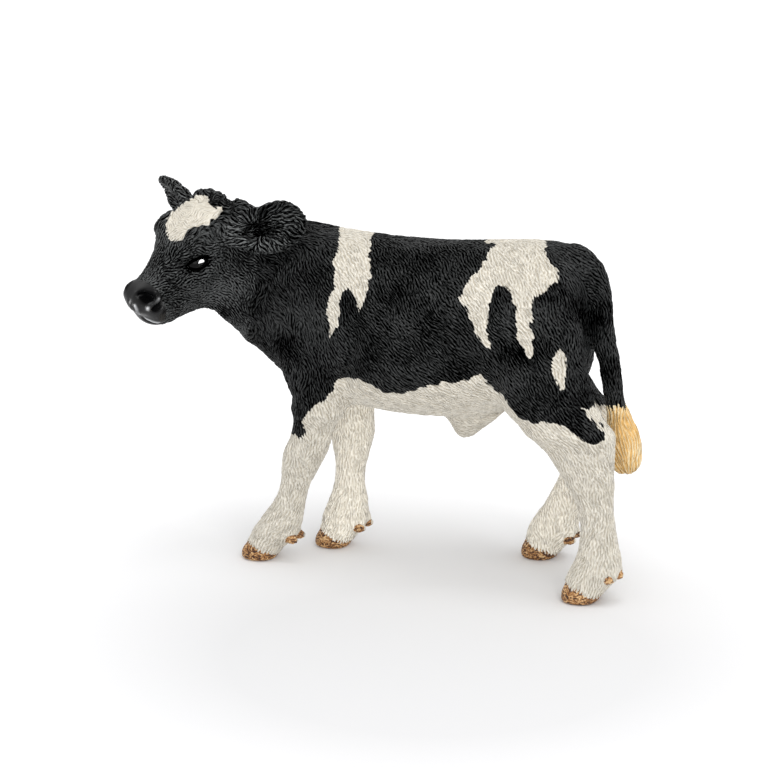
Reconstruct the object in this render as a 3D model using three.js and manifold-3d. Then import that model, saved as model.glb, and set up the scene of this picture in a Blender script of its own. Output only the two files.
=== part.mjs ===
// Toy calf, a solid painted PVC figure of a standing calf with its head turned to its left.
// Millimetres, +Z up, hooves on Z = 0, nose towards -X and the calf's left side towards -Y.
// The figure is nine mouldings glued together: each limb, ear and tail is a lofted form that is
// cut at a flat seam, carries a keyed peg, and seats in a socket of the piece that holds it.
import * as THREE from 'three';
import { mergeVertices, toCreasedNormals } from 'three/addons/utils/BufferGeometryUtils.js';
import Module from 'manifold-3d';

const wasm = await Module();
wasm.setup();

// Trunk
const BODY_LENGTH = 50; // front of the chest to the back of the rump
const BACK_HEIGHT = 52.3; // middle of the back above the ground
const TRUNK_DEPTH = 27; // back to belly at the barrel
const TRUNK_WIDTH = 23.4; // side to side at the barrel

// Neck
const NECK_LENGTH = 15.5; // front of the shoulder to the back of the skull
const NECK_DEPTH = 25.6; // where it leaves the shoulder
const NECK_WIDTH = 18; // where it leaves the shoulder
const NECK_CREST_HEIGHT = 2; // crest of the neck above the back
const NECK_TURN = 6.2; // how far the bend carries the neck to the left

// Head
const HEAD_LENGTH = 17.2; // poll to nose
const HEAD_DEPTH = 11.6; // forehead to jaw
const HEAD_WIDTH = 10.2; // across the eyes
const EYE_LENGTH = 3.6;
const EYE_BULGE = 0.5; // how far the eyeball stands out of the cheek
const NOSTRIL_LENGTH = 2.4;
const MOUTH_SLIT = 0.4; // height of the groove between the lips
const HEAD_YAW = THREE.MathUtils.degToRad(58); // turned to the calf's left
const HEAD_PITCH = THREE.MathUtils.degToRad(29); // nose below the poll
const HEAD_ROLL = THREE.MathUtils.degToRad(8); // tilted towards its right ear

// Ears
const EAR_LENGTH = 12;
const EAR_WIDTH = 8.4;
const EAR_BACK_DEPTH = 2.6; // how far the back bulges
const EAR_HOLLOW_DEPTH = 2.7; // how far the face is hollowed below the top of the rim's curve
const EAR_RIM_HEIGHT = 1; // how far the rim's curve rises over the edge

// Legs
const FORELEG_DEPTH = 8.4; // front to back at the elbow
const FORELEG_WIDTH = 6.4; // side to side at the hoof
const FORE_TRACK = 6.4; // elbow to the middle plane
const FORE_STRIDE = 9.4; // how far the left fore hoof stands ahead of its shoulder
const HIND_LEG_DEPTH = 17; // front to back at the thigh
const HIND_LEG_WIDTH = 6.6; // side to side at the hoof
const HIND_TRACK = 7.3; // stifle to the middle plane
const HIND_STRIDE = 9; // left hind hoof behind its hip, right one ahead of it
const HOOF_CLEFT = 0.7; // opening between the two claws at the toe
const HOOF_HEIGHT = 2.8;
const DEWCLAW = 1.5; // diameter

// Tail and sheath
const TAIL_DROP = 34; // root to the tip of the tuft
const TAIL_REACH = 13; // root to the rearmost point of the tuft
const TAIL_THICKNESS = 3.8;
const SHEATH_LENGTH = 4.1; // below the belly
const SHEATH_WIDTH = 6; // side to side at its root
const SHEATH_BASE = 10; // along the belly at its root
const SHEATH_TIP_OFFSET = 1.4; // ahead of the middle of the root

// Seams, pegs and sockets
const SEAM_GAP = 0.3; // glue gap between two mouldings
const PEG_ROOT = 1.5; // how deep a peg is rooted in its own piece
const NECK_PEG_WIDTH = 6;
const NECK_PEG_LENGTH = 6;
const LEG_PEG_WIDTH = 4;
const LEG_PEG_LENGTH = 6;
const EAR_PEG_WIDTH = 1.6;
const EAR_PEG_LENGTH = 2;
const TAIL_PEG_WIDTH = 2;
const TAIL_PEG_LENGTH = 4.5;
const PEG_DRAFT_SHARE = 0.85; // tip width of a peg as a share of its root width
const CUTTER = 120; // side of the boxes that cut the seams, larger than the figure

// Facets and roundness
const PEG_SIDES = 6; // a hexagon keys the piece against turning
const TRUNK_SIDES = 30;
const LIMB_SIDES = 18;
const TAIL_SIDES = 12;
const HEAD_SIDES = 24;
const EAR_SIDES = 18;
const BALL_SIDES = 12;
const ROW_STEPS = 2; // sections made for each row of a table
const PATH_STEPS = 4; // likewise along the middle of a leg
const TRUNK_FULLNESS = 2.25; // 2 is an ellipse, more is squarer
const LIMB_FULLNESS = 2.3;
const ROUND_FULLNESS = 2;
const CREASE = THREE.MathUtils.degToRad(35); // sharper edges than this are shaded as edges

// Paint
const COAT_BLACK = '#2a2c2e';
const COAT_WHITE = '#e9e3da';

// Trunk sections from the rump forwards. Top point: place along the body and rise above the back.
// Underside point: place along the body and depth below the back. Last: width.
const TRUNK_ROW_SHARES = [
  [0.99, -0.22, 0.99, 0.58, 0.3],
  [0.982, -0.11, 0.978, 0.71, 0.56],
  [0.956, -0.015, 0.95, 0.8, 0.73],
  [0.902, 0.036, 0.9, 0.86, 0.85],
  [0.82, 0.05, 0.81, 0.9, 0.92],
  [0.69, 0.03, 0.69, 0.95, 0.94],
  [0.55, 0.004, 0.55, 1, 0.99],
  [0.41, -0.004, 0.41, 1.005, 1],
  [0.27, 0.005, 0.27, 0.985, 0.94],
  [0.16, 0.024, 0.16, 0.962, 0.87],
];

// Neck sections from the shoulder forwards. Top point: place along the neck and rise of the crest.
// Underside point: place along the neck and depth below the back. Then width and sideways bend.
const NECK_ROW_SHARES = [
  [0, 0.6, 0.06, 0.95, 0.97, 0],
  [0.24, 0.8, 0.32, 0.815, 0.79, 0.1],
  [0.48, 1.15, 0.58, 0.68, 0.62, 0.28],
  [0.7, 1.3, 0.81, 0.55, 0.52, 0.52],
  [0.88, 0.9, 0.99, 0.43, 0.44, 0.78],
  [1, -0.7, 1.05, 0.28, 0.28, 1],
];
const NECK_START_SHARE = 0.08; // of the body length, from the chest
const WIDEST_SHARE = 0.56; // of a trunk section's depth, below its top
const SEAM_ON_NECK_SHARE = 0.48; // of the neck length
const POLL_SHARES = { along: 0.94, rise: 1.75, bend: 1.07 }; // neck length, crest and bend

// Head sections from the poll to the nose: place along the head, top and bottom in shares of the
// head depth, then width, all square to the face line.
const HEAD_ROW_SHARES = [
  [-0.27, -0.08, -0.64, 0.36],
  [-0.2, 0.15, -0.9, 0.7],
  [-0.1, 0.21, -1.06, 0.9],
  [0.04, 0.2, -1.17, 0.98],
  [0.18, 0.17, -1.23, 1],
  [0.32, 0.12, -1.24, 0.96],
  [0.45, 0.01, -1.2, 0.84],
  [0.58, -0.1, -1.11, 0.72],
  [0.7, -0.17, -1.06, 0.67],
  [0.82, -0.2, -1, 0.71],
  [0.91, -0.24, -0.9, 0.74],
  [0.97, -0.32, -0.79, 0.68],
  [1, -0.44, -0.66, 0.5],
];
const HEAD_WIDEST_SHARE = 0.36; // of a head section's depth, below the face line
const EYE_SHARES = { along: 0.34, drop: 0.33, high: 0.75 };
const NOSTRIL_SHARES = { along: 0.95, side: 0.25, drop: 0.4, deep: 0.8, high: 0.55 };
const MOUTH_SHARES = { from: 0.76, drop: 0.64, cut: 0.06 };
const EAR_SEAT_SHARES = { along: 0, side: 0.48, drop: 0.24 };
// Directions of the ear in the head's frame: forward, outward, up.
const EAR_LEAN_SHARES = {
  left: { along: [-0.58, 0.82, 0.06], face: [0.55, 0.5, 0.6] },
  right: { along: [-0.27, 0.95, -0.15], face: [0.8, 0.35, 0] },
};
// Place along the ear from the root to the tip, width, hollow, rim and back.
const EAR_ROW_SHARES = [
  [0, 0.4, 0, 1, 0.7],
  [0.1, 0.52, 0.15, 1, 0.85],
  [0.2, 0.72, 0.75, 1, 0.95],
  [0.34, 0.92, 1, 1, 1],
  [0.52, 1, 0.9, 1, 0.95],
  [0.7, 0.94, 0.7, 0.95, 0.8],
  [0.86, 0.72, 0.5, 0.8, 0.6],
  [0.96, 0.42, 0.25, 0.5, 0.4],
  [1, 0.16, 0.1, 0.2, 0.2],
];
const RIM_SHARPNESS = 4; // power of the sine that hollows the face, higher for a wider rim

// Leg sections from the sole up: height, depth front to back and width, as shares of the leg's
// height, depth and hoof width.
const FORELEG_ROW_SHARES = [
  [0, 0.68, 0.96],
  [0.032, 0.76, 1],
  [0.062, 0.8, 0.9],
  [0.1, 0.88, 0.92],
  [0.142, 0.8, 0.86],
  [0.186, 0.66, 0.75],
  [0.23, 0.57, 0.66],
  [0.285, 0.57, 0.66],
  [0.35, 0.72, 0.84],
  [0.405, 0.82, 0.92],
  [0.48, 0.77, 0.92],
  [0.6, 1, 1.22],
  [0.77, 1.42, 1.32],
  [0.9, 1.2, 1.05],
  [1, 0.5, 0.4],
];
const HIND_LEG_ROW_SHARES = [
  [0, 0.34, 0.96],
  [0.026, 0.385, 1],
  [0.05, 0.41, 0.9],
  [0.082, 0.455, 0.93],
  [0.122, 0.435, 0.9],
  [0.18, 0.355, 0.72],
  [0.25, 0.315, 0.64],
  [0.315, 0.335, 0.67],
  [0.39, 0.46, 0.82],
  [0.445, 0.56, 0.92],
  [0.505, 0.72, 1.08],
  [0.55, 0.82, 1.22],
  [0.63, 0.91, 1.34],
  [0.75, 0.9, 1.34],
  [0.88, 0.7, 1.02],
  [1, 0.3, 0.3],
];

// Where the middle of each leg runs: height, place ahead of the shoulder or hip in shares of the
// stride, and place outwards in shares of the track.
const LEG_PATH_SHARES = {
  left_foreleg: [
    [0, 1, 0.82], [0.032, 0.96, 0.82], [0.08, 0.76, 0.84], [0.16, 0.55, 0.87],
    [0.27, 0.34, 0.9], [0.37, 0.19, 0.94], [0.47, 0, 0.98], [0.6, -0.13, 1],
    [0.77, 0, 0.94], [1, 0, 0.45],
  ],
  right_foreleg: [
    [0, 0.05, 0.62], [0.032, 0.01, 0.62], [0.08, -0.14, 0.66], [0.16, -0.21, 0.72],
    [0.27, -0.23, 0.8], [0.37, -0.25, 0.86], [0.47, -0.25, 0.93], [0.6, -0.2, 1],
    [0.77, -0.05, 0.94], [1, 0, 0.45],
  ],
  left_hind_leg: [
    [0, -0.64, 1.08], [0.026, -0.68, 1.08], [0.07, -0.82, 1.07], [0.125, -0.95, 1.05],
    [0.2, -0.95, 1.03], [0.32, -0.86, 1.01], [0.42, -0.7, 1], [0.52, -0.46, 1],
    [0.63, 0.03, 1], [0.75, 0.2, 0.94], [0.88, 0.12, 0.84], [1, 0, 0.5],
  ],
  right_hind_leg: [
    [0, 0.66, 1.32], [0.026, 0.62, 1.31], [0.07, 0.46, 1.28], [0.125, 0.35, 1.24],
    [0.2, 0.18, 1.18], [0.32, -0.12, 1.1], [0.42, -0.24, 1.05], [0.52, 0.05, 1.02],
    [0.63, 0.62, 1], [0.75, 0.7, 0.94], [0.88, 0.38, 0.82], [1, 0.1, 0.5],
  ],
};
const FORE_AT_SHARE = 0.14; // shoulder, share of the body length behind the chest
const HIND_AT_SHARE = 0.9; // hip, likewise
const FORE_TOP_SHARE = 0.22; // top of the shoulder below the back, share of the trunk depth
const HIND_TOP_SHARE = 0.12;
const FORE_SEAM_SHARE = 1.0; // seam below the back, share of the trunk depth
const HIND_SEAM_SHARE = 0.97;
const LEG_POINT_SHARES = { cleft: 0.06, dewclawUp: 0.1, dewclawSide: 0.24, dewclawIn: 0.3 };

// Tail sections from the root down: place back and drop, then thickness and width.
const TAIL_ROW_SHARES = [
  [-0.1, 0.04, 0.4, 0.4],
  [0.1, 0.015, 0.9, 1.1],
  [0.28, 0.02, 1, 1.15],
  [0.44, 0.075, 1.02, 1.05],
  [0.53, 0.18, 1, 0.95],
  [0.575, 0.33, 0.94, 0.9],
  [0.63, 0.52, 0.9, 0.85],
  [0.69, 0.68, 0.84, 0.82],
  [0.78, 0.765, 1.05, 1],
  [0.9, 0.86, 1.25, 1.2],
  [0.96, 0.95, 1, 0.95],
  [0.98, 1, 0.4, 0.4],
];
const TAIL_AT_SHARE = 0.88; // root, share of the body length behind the chest
const TAIL_SEAM_SHARE = 0.27; // of the rows, counted from the root
const TAIL_SINK_SHARE = 0.3; // of the thickness, root below the top line
const SHEATH_AT_SHARE = 0.62; // of the body length behind the chest
// Sheath sections from inside the belly down: drop, girth and lean.
const SHEATH_ROW_SHARES = [
  [-1, 1, 0],
  [-0.2, 1, 0],
  [0.3, 0.66, 0.4],
  [0.75, 0.36, 0.85],
  [0.97, 0.2, 1],
  [1, 0.1, 1],
];

// Solid of a closed triangle mesh, joined and cut by the library.
function solidOf(geometry) {
  const bare = geometry.index ? geometry.clone() : geometry;
  bare.deleteAttribute('normal');
  bare.deleteAttribute('uv');
  const merged = mergeVertices(bare);
  const mesh = new wasm.Mesh({
    numProp: 3,
    vertProperties: new Float32Array(merged.attributes.position.array),
    triVerts: new Uint32Array(merged.index.array),
  });
  return new wasm.Manifold(mesh);
}

function geometryOf(solid) {
  const mesh = solid.getMesh();
  const geometry = new THREE.BufferGeometry();
  geometry.setAttribute('position', new THREE.BufferAttribute(mesh.vertProperties, 3));
  geometry.setIndex(new THREE.BufferAttribute(mesh.triVerts, 1));
  return toCreasedNormals(geometry, CREASE);
}

// Rows of numbers filled in along Catmull-Rom curves, so that a few rows give a smooth form.
function smoothRows(rows, steps = ROW_STEPS) {
  const filled = [];
  for (let i = 0; i < rows.length - 1; i += 1) {
    const before = rows[Math.max(i - 1, 0)];
    const after = rows[Math.min(i + 2, rows.length - 1)];
    for (let step = 0; step < steps; step += 1) {
      const t = step / steps;
      filled.push(rows[i].map((value, k) => catmullRom(before[k], value, rows[i + 1][k], after[k], t)));
    }
  }
  filled.push(rows.at(-1));
  return filled;
}

function catmullRom(a, b, c, d, t) {
  const bend = (2 * a - 5 * b + 4 * c - d) * t * t + (3 * b - a - 3 * c + d) * t * t * t;
  return b + ((c - a) * t + bend) / 2;
}

// Value of a table's columns at a place between its rows, the place being the first column.
function rowAt(rows, place) {
  const above = rows.findIndex((row) => row[0] >= place);
  if (above <= 0) return above < 0 ? rows.at(-1) : rows[0];
  const low = rows[above - 1];
  const high = rows[above];
  const t = (place - low[0]) / (high[0] - low[0]);
  return low.map((value, k) => THREE.MathUtils.lerp(value, high[k], t));
}

// Closed skin over rings of points, all with as many points, with a fan over each end.
function skin(rings) {
  const sides = rings[0].length;
  const points = rings.flat();
  const first = points.push(centreOf(rings[0])) - 1;
  const last = points.push(centreOf(rings.at(-1))) - 1;
  const faces = [];
  for (let side = 0; side < sides; side += 1) {
    const next = (side + 1) % sides;
    for (let ring = 0; ring < rings.length - 1; ring += 1) {
      const a = ring * sides + side;
      const b = ring * sides + next;
      faces.push(a, b, b + sides, a, b + sides, a + sides);
    }
    const end = (rings.length - 1) * sides;
    faces.push(first, next, side, last, end + side, end + next);
  }
  const geometry = new THREE.BufferGeometry().setFromPoints(points);
  geometry.setIndex(faces);
  return facingOut(geometry);
}

function centreOf(ring) {
  return ring.reduce((sum, point) => sum.add(point), new THREE.Vector3()).divideScalar(ring.length);
}

// Turns every face round when the signed volume shows that the skin is inside out.
function facingOut(geometry) {
  const index = geometry.index.array;
  const position = geometry.attributes.position;
  const corner = [new THREE.Vector3(), new THREE.Vector3(), new THREE.Vector3()];
  let volume = 0;
  for (let i = 0; i < index.length; i += 3) {
    corner.forEach((point, k) => point.fromBufferAttribute(position, index[i + k]));
    volume += corner[0].dot(corner[1].clone().cross(corner[2]));
  }
  if (volume < 0) {
    for (let i = 0; i < index.length; i += 3) {
      [index[i + 1], index[i + 2]] = [index[i + 2], index[i + 1]];
    }
  }
  return geometry;
}

// Ring of a superellipse whose upper and lower halves have their own heights.
function ovalRing({ centre, side, up, halfWidth, above, below, fullness, sides }) {
  const ring = [];
  for (let i = 0; i < sides; i += 1) {
    const angle = (2 * Math.PI * i) / sides;
    const across = softPower(Math.cos(angle), fullness) * halfWidth;
    const rise = softPower(Math.sin(angle), fullness) * (Math.sin(angle) > 0 ? above : below);
    ring.push(centre.clone().addScaledVector(side, across).addScaledVector(up, rise));
  }
  return ring;
}

function softPower(value, fullness) {
  return Math.sign(value) * Math.abs(value) ** (2 / fullness);
}

// Section of the trunk or neck between its top and underside points, grown all round.
function trunkRing([topX, topZ, underX, underZ, halfWidth, sideY], grown) {
  const top = new THREE.Vector3(topX, sideY, topZ);
  const under = new THREE.Vector3(underX, sideY, underZ);
  const up = top.clone().sub(under).normalize();
  const depth = top.distanceTo(under);
  return ovalRing({
    centre: top.clone().lerp(under, WIDEST_SHARE),
    side: new THREE.Vector3(0, 1, 0),
    up,
    halfWidth: halfWidth + grown,
    above: depth * WIDEST_SHARE + grown,
    below: depth * (1 - WIDEST_SHARE) + grown,
    fullness: TRUNK_FULLNESS,
    sides: TRUNK_SIDES,
  });
}

function trunkRows() {
  const trunk = TRUNK_ROW_SHARES.map(([topAlong, rise, underAlong, depth, width]) => [
    BODY_LENGTH * topAlong,
    BACK_HEIGHT + TRUNK_DEPTH * rise,
    BODY_LENGTH * underAlong,
    BACK_HEIGHT - TRUNK_DEPTH * depth,
    (TRUNK_WIDTH / 2) * width,
    0,
  ]);
  const start = BODY_LENGTH * NECK_START_SHARE;
  const neck = NECK_ROW_SHARES.map(([topAlong, rise, underAlong, depth, width, bend]) => [
    start - NECK_LENGTH * topAlong,
    BACK_HEIGHT + NECK_CREST_HEIGHT * rise,
    start - NECK_LENGTH * underAlong,
    BACK_HEIGHT - NECK_DEPTH * depth,
    (NECK_WIDTH / 2) * width,
    -NECK_TURN * bend,
  ]);
  return smoothRows([...trunk, ...neck]);
}

// Trunk and neck in one loft. The grown one is what a neighbour is cut by.
function trunkForm(grown = 0) {
  const rings = trunkRows().map((row) => trunkRing(row, grown));
  if (grown) {
    rings.unshift(rings[0].map((point) => point.clone().setX(point.x + grown)));
  }
  return solidOf(skin(rings));
}

// Legs
const LEGS = {
  left_foreleg: { fore: true, side: -1 },
  right_foreleg: { fore: true, side: 1 },
  left_hind_leg: { fore: false, side: -1 },
  right_hind_leg: { fore: false, side: 1 },
};

function legSizes(name) {
  const { fore, side } = LEGS[name];
  const topShare = fore ? FORE_TOP_SHARE : HIND_TOP_SHARE;
  const seamShare = fore ? FORE_SEAM_SHARE : HIND_SEAM_SHARE;
  return {
    side,
    rows: fore ? FORELEG_ROW_SHARES : HIND_LEG_ROW_SHARES,
    path: LEG_PATH_SHARES[name],
    at: BODY_LENGTH * (fore ? FORE_AT_SHARE : HIND_AT_SHARE),
    height: BACK_HEIGHT - TRUNK_DEPTH * topShare,
    seam: BACK_HEIGHT - TRUNK_DEPTH * seamShare,
    depth: fore ? FORELEG_DEPTH : HIND_LEG_DEPTH,
    width: fore ? FORELEG_WIDTH : HIND_LEG_WIDTH,
    track: fore ? FORE_TRACK : HIND_TRACK,
    stride: fore ? FORE_STRIDE : HIND_STRIDE,
  };
}

// Middle of a leg at a height above the ground.
function legMiddle(leg, height) {
  const [, stride, track] = rowAt(smoothRows(leg.path, PATH_STEPS), height / leg.height);
  return new THREE.Vector3(leg.at - leg.stride * stride, leg.side * leg.track * track, height);
}

// Whole leg from the sole to inside the trunk, with level sections so that the sole is flat.
function legForm(leg) {
  const rings = smoothRows(leg.rows).map(([height, depth, width]) => ovalRing({
    centre: legMiddle(leg, leg.height * height),
    side: new THREE.Vector3(0, 1, 0),
    up: new THREE.Vector3(1, 0, 0),
    halfWidth: (leg.width / 2) * width,
    above: (leg.depth / 2) * depth,
    below: (leg.depth / 2) * depth,
    fullness: LIMB_FULLNESS,
    sides: LIMB_SIDES,
  }));
  return solidOf(skin(rings));
}

// Wedge between the two claws, open at the toe and closed behind the middle of the sole.
function hoofCleft(leg) {
  const sole = legMiddle(leg, 0);
  const reach = leg.depth * leg.rows[0][1];
  const apex = reach * LEG_POINT_SHARES.cleft;
  const half = ((HOOF_CLEFT / 2) * (reach - apex)) / (reach / 2 - apex);
  const plan = new THREE.Shape([
    new THREE.Vector2(-reach, -half),
    new THREE.Vector2(-apex, 0),
    new THREE.Vector2(-reach, half),
  ]);
  const wedge = new THREE.ExtrudeGeometry(plan, { depth: HOOF_HEIGHT * 2, bevelEnabled: false });
  wedge.translate(sole.x, sole.y, -HOOF_HEIGHT);
  return solidOf(wedge);
}

function dewclaws(leg) {
  const height = leg.height * LEG_POINT_SHARES.dewclawUp;
  const middle = legMiddle(leg, height);
  const [, depth] = rowAt(leg.rows, LEG_POINT_SHARES.dewclawUp);
  const claws = [-1, 1].map((side) => ball(
    new THREE.Vector3(
      middle.x + (leg.depth / 2) * depth - DEWCLAW * LEG_POINT_SHARES.dewclawIn,
      middle.y + side * leg.width * LEG_POINT_SHARES.dewclawSide,
      height,
    ),
    new THREE.Vector3(DEWCLAW / 2, DEWCLAW / 2, DEWCLAW / 2),
  ));
  return claws[0].add(claws[1]);
}

// Ellipsoid, for eyes, nostrils and dewclaws.
function ball(centre, radii, turn = new THREE.Matrix4()) {
  const sphere = new THREE.SphereGeometry(1, BALL_SIDES, BALL_SIDES / 2);
  sphere.scale(radii.x, radii.y, radii.z);
  sphere.applyMatrix4(turn);
  sphere.translate(centre.x, centre.y, centre.z);
  return solidOf(sphere);
}

// Box with one face in a plane, covering everything on the side that the direction points to.
function halfSpace(origin, direction) {
  const box = new THREE.BoxGeometry(CUTTER, CUTTER, CUTTER);
  box.translate(0, 0, CUTTER / 2);
  box.applyQuaternion(new THREE.Quaternion().setFromUnitVectors(
    new THREE.Vector3(0, 0, 1),
    direction.clone().normalize(),
  ));
  box.translate(origin.x, origin.y, origin.z);
  return solidOf(box);
}

// Keyed peg that stands on a seam, rooted in the piece behind it. Grown, it cuts the socket.
function peg(seam, width, length, grown = 0) {
  const tip = (width / 2) * PEG_DRAFT_SHARE + grown;
  const root = width / 2 + grown;
  const shank = new THREE.CylinderGeometry(tip, root, length + PEG_ROOT + grown, PEG_SIDES);
  shank.translate(0, (length + grown - PEG_ROOT) / 2, 0);
  shank.applyQuaternion(new THREE.Quaternion().setFromUnitVectors(
    new THREE.Vector3(0, 1, 0),
    seam.into.clone().normalize(),
  ));
  shank.translate(seam.at.x, seam.at.y, seam.at.z);
  return solidOf(shank);
}

// Cuts a form at a seam: the outer part, and the part that stays on the piece that holds it.
function cutAtSeam(form, seam) {
  const behind = seam.at.clone().addScaledVector(seam.into.clone().normalize(), SEAM_GAP);
  return {
    outer: form.subtract(halfSpace(seam.at, seam.into)),
    held: form.intersect(halfSpace(behind, seam.into)),
  };
}

function seamOnNeck() {
  const [along, rise, underAlong, depth, , bend] = rowAt(NECK_ROW_SHARES, SEAM_ON_NECK_SHARE);
  return {
    at: new THREE.Vector3(
      BODY_LENGTH * NECK_START_SHARE - (NECK_LENGTH * (along + underAlong)) / 2,
      -NECK_TURN * bend,
      BACK_HEIGHT + (NECK_CREST_HEIGHT * rise - NECK_DEPTH * depth) / 2,
    ),
    into: new THREE.Vector3(NECK_LENGTH, NECK_TURN, -NECK_CREST_HEIGHT),
  };
}

// Head frame: forward along the face line, left, and up square to both.
function headFrame() {
  const level = new THREE.Vector3(-Math.cos(HEAD_YAW), -Math.sin(HEAD_YAW), 0);
  const across = new THREE.Vector3(Math.sin(HEAD_YAW), -Math.cos(HEAD_YAW), 0);
  const vertical = new THREE.Vector3(0, 0, 1);
  const forward = level.clone().multiplyScalar(Math.cos(HEAD_PITCH))
    .addScaledVector(vertical, -Math.sin(HEAD_PITCH));
  const crown = level.clone().multiplyScalar(Math.sin(HEAD_PITCH))
    .addScaledVector(vertical, Math.cos(HEAD_PITCH));
  const left = across.clone().multiplyScalar(Math.cos(HEAD_ROLL))
    .addScaledVector(crown, -Math.sin(HEAD_ROLL));
  const up = crown.clone().multiplyScalar(Math.cos(HEAD_ROLL))
    .addScaledVector(across, Math.sin(HEAD_ROLL));
  const poll = new THREE.Vector3(
    BODY_LENGTH * NECK_START_SHARE - NECK_LENGTH * POLL_SHARES.along,
    -NECK_TURN * POLL_SHARES.bend,
    BACK_HEIGHT + NECK_CREST_HEIGHT * POLL_SHARES.rise,
  );
  return { forward, left, up, poll };
}

// Point of the head given along the face line, to the left and up, in millimetres.
function onHead(frame, along, left, up) {
  return frame.poll.clone()
    .addScaledVector(frame.forward, along)
    .addScaledVector(frame.left, left)
    .addScaledVector(frame.up, up);
}

function headTurn(frame) {
  return new THREE.Matrix4().makeBasis(frame.forward, frame.left, frame.up);
}

// Lofted skull and muzzle.
function headForm(frame, grown = 0) {
  const rings = smoothRows(HEAD_ROW_SHARES).map(([along, top, bottom, width]) => {
    const depth = HEAD_DEPTH * (top - bottom);
    const widest = HEAD_DEPTH * top - depth * HEAD_WIDEST_SHARE;
    return ovalRing({
      centre: onHead(frame, HEAD_LENGTH * along, 0, widest),
      side: frame.left,
      up: frame.up,
      halfWidth: (HEAD_WIDTH / 2) * width + grown,
      above: depth * HEAD_WIDEST_SHARE + grown,
      below: depth * (1 - HEAD_WIDEST_SHARE) + grown,
      fullness: LIMB_FULLNESS,
      sides: HEAD_SIDES,
    });
  });
  return solidOf(skin(rings));
}

function eye(frame, side) {
  const length = EYE_LENGTH / 2;
  const half = (HEAD_WIDTH / 2) * rowAt(HEAD_ROW_SHARES, EYE_SHARES.along)[3];
  const out = half + EYE_BULGE - length;
  return ball(
    onHead(frame, HEAD_LENGTH * EYE_SHARES.along, side * out, -HEAD_DEPTH * EYE_SHARES.drop),
    new THREE.Vector3(length, length, length * EYE_SHARES.high),
    headTurn(frame),
  );
}

function nostril(frame, side) {
  const length = NOSTRIL_LENGTH / 2;
  return ball(
    onHead(
      frame,
      HEAD_LENGTH * NOSTRIL_SHARES.along,
      side * HEAD_WIDTH * NOSTRIL_SHARES.side,
      -HEAD_DEPTH * NOSTRIL_SHARES.drop,
    ),
    new THREE.Vector3(length * NOSTRIL_SHARES.deep, length, length * NOSTRIL_SHARES.high),
    headTurn(frame),
  );
}

// Groove between the lips: a level slice of the muzzle's skin.
function mouth(frame) {
  const slab = new THREE.BoxGeometry(HEAD_LENGTH, HEAD_WIDTH, MOUTH_SLIT);
  slab.applyMatrix4(headTurn(frame));
  const middle = onHead(
    frame,
    HEAD_LENGTH * (MOUTH_SHARES.from + 0.5),
    0,
    -HEAD_DEPTH * MOUTH_SHARES.drop,
  );
  slab.translate(middle.x, middle.y, middle.z);
  const depth = HEAD_DEPTH * MOUTH_SHARES.cut;
  return solidOf(slab).subtract(headForm(frame, -depth));
}

// Ear: its back bulges, and its face is a round rim about a hollow.
function earForm(ear) {
  const rings = smoothRows(EAR_ROW_SHARES).map(([along, width, hollow, rim, back]) => {
    const middle = ear.seat.clone().addScaledVector(ear.along, EAR_LENGTH * along);
    const half = (EAR_WIDTH / 2) * width;
    const ring = [];
    for (let i = 0; i < EAR_SIDES; i += 1) {
      const angle = (2 * Math.PI * i) / EAR_SIDES;
      const sine = Math.sin(angle);
      const face = EAR_RIM_HEIGHT * rim * sine - EAR_HOLLOW_DEPTH * hollow * sine ** RIM_SHARPNESS;
      ring.push(middle.clone()
        .addScaledVector(ear.across, half * Math.cos(angle))
        .addScaledVector(ear.face, sine > 0 ? face : EAR_BACK_DEPTH * back * sine));
    }
    return ring;
  });
  return solidOf(skin(rings));
}

function earFrame(frame, name) {
  const side = name === 'left' ? 1 : -1;
  const lean = EAR_LEAN_SHARES[name];
  const direction = ([forward, outward, up]) => new THREE.Vector3()
    .addScaledVector(frame.forward, forward)
    .addScaledVector(frame.left, side * outward)
    .addScaledVector(frame.up, up)
    .normalize();
  const along = direction(lean.along);
  const facing = direction(lean.face);
  const face = facing.clone().addScaledVector(along, -facing.dot(along)).normalize();
  const seat = onHead(
    frame,
    HEAD_LENGTH * EAR_SEAT_SHARES.along,
    side * HEAD_WIDTH * EAR_SEAT_SHARES.side,
    -HEAD_DEPTH * EAR_SEAT_SHARES.drop,
  );
  return { along, face, across: along.clone().cross(face), seat };
}

// Tail
function tailRows() {
  const rootX = BODY_LENGTH * TAIL_AT_SHARE;
  const rootZ = BACK_HEIGHT + TRUNK_DEPTH * TRUNK_ROW_SHARES[4][1] - TAIL_THICKNESS * TAIL_SINK_SHARE;
  return smoothRows(TAIL_ROW_SHARES).map(([back, drop, thickness, width]) => ({
    centre: new THREE.Vector3(rootX + TAIL_REACH * back, 0, rootZ - TAIL_DROP * drop),
    thickness: (TAIL_THICKNESS / 2) * thickness,
    width: (TAIL_THICKNESS / 2) * width,
  }));
}

function tailForm(rows) {
  const rings = rows.map(({ centre, thickness, width }, i) => {
    const run = rows[Math.min(i + 1, rows.length - 1)].centre.clone()
      .sub(rows[Math.max(i - 1, 0)].centre).normalize();
    return ovalRing({
      centre,
      side: new THREE.Vector3(0, 1, 0),
      up: new THREE.Vector3(0, 1, 0).cross(run),
      halfWidth: width,
      above: thickness,
      below: thickness,
      fullness: ROUND_FULLNESS,
      sides: TAIL_SIDES,
    });
  });
  return solidOf(skin(rings));
}

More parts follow.
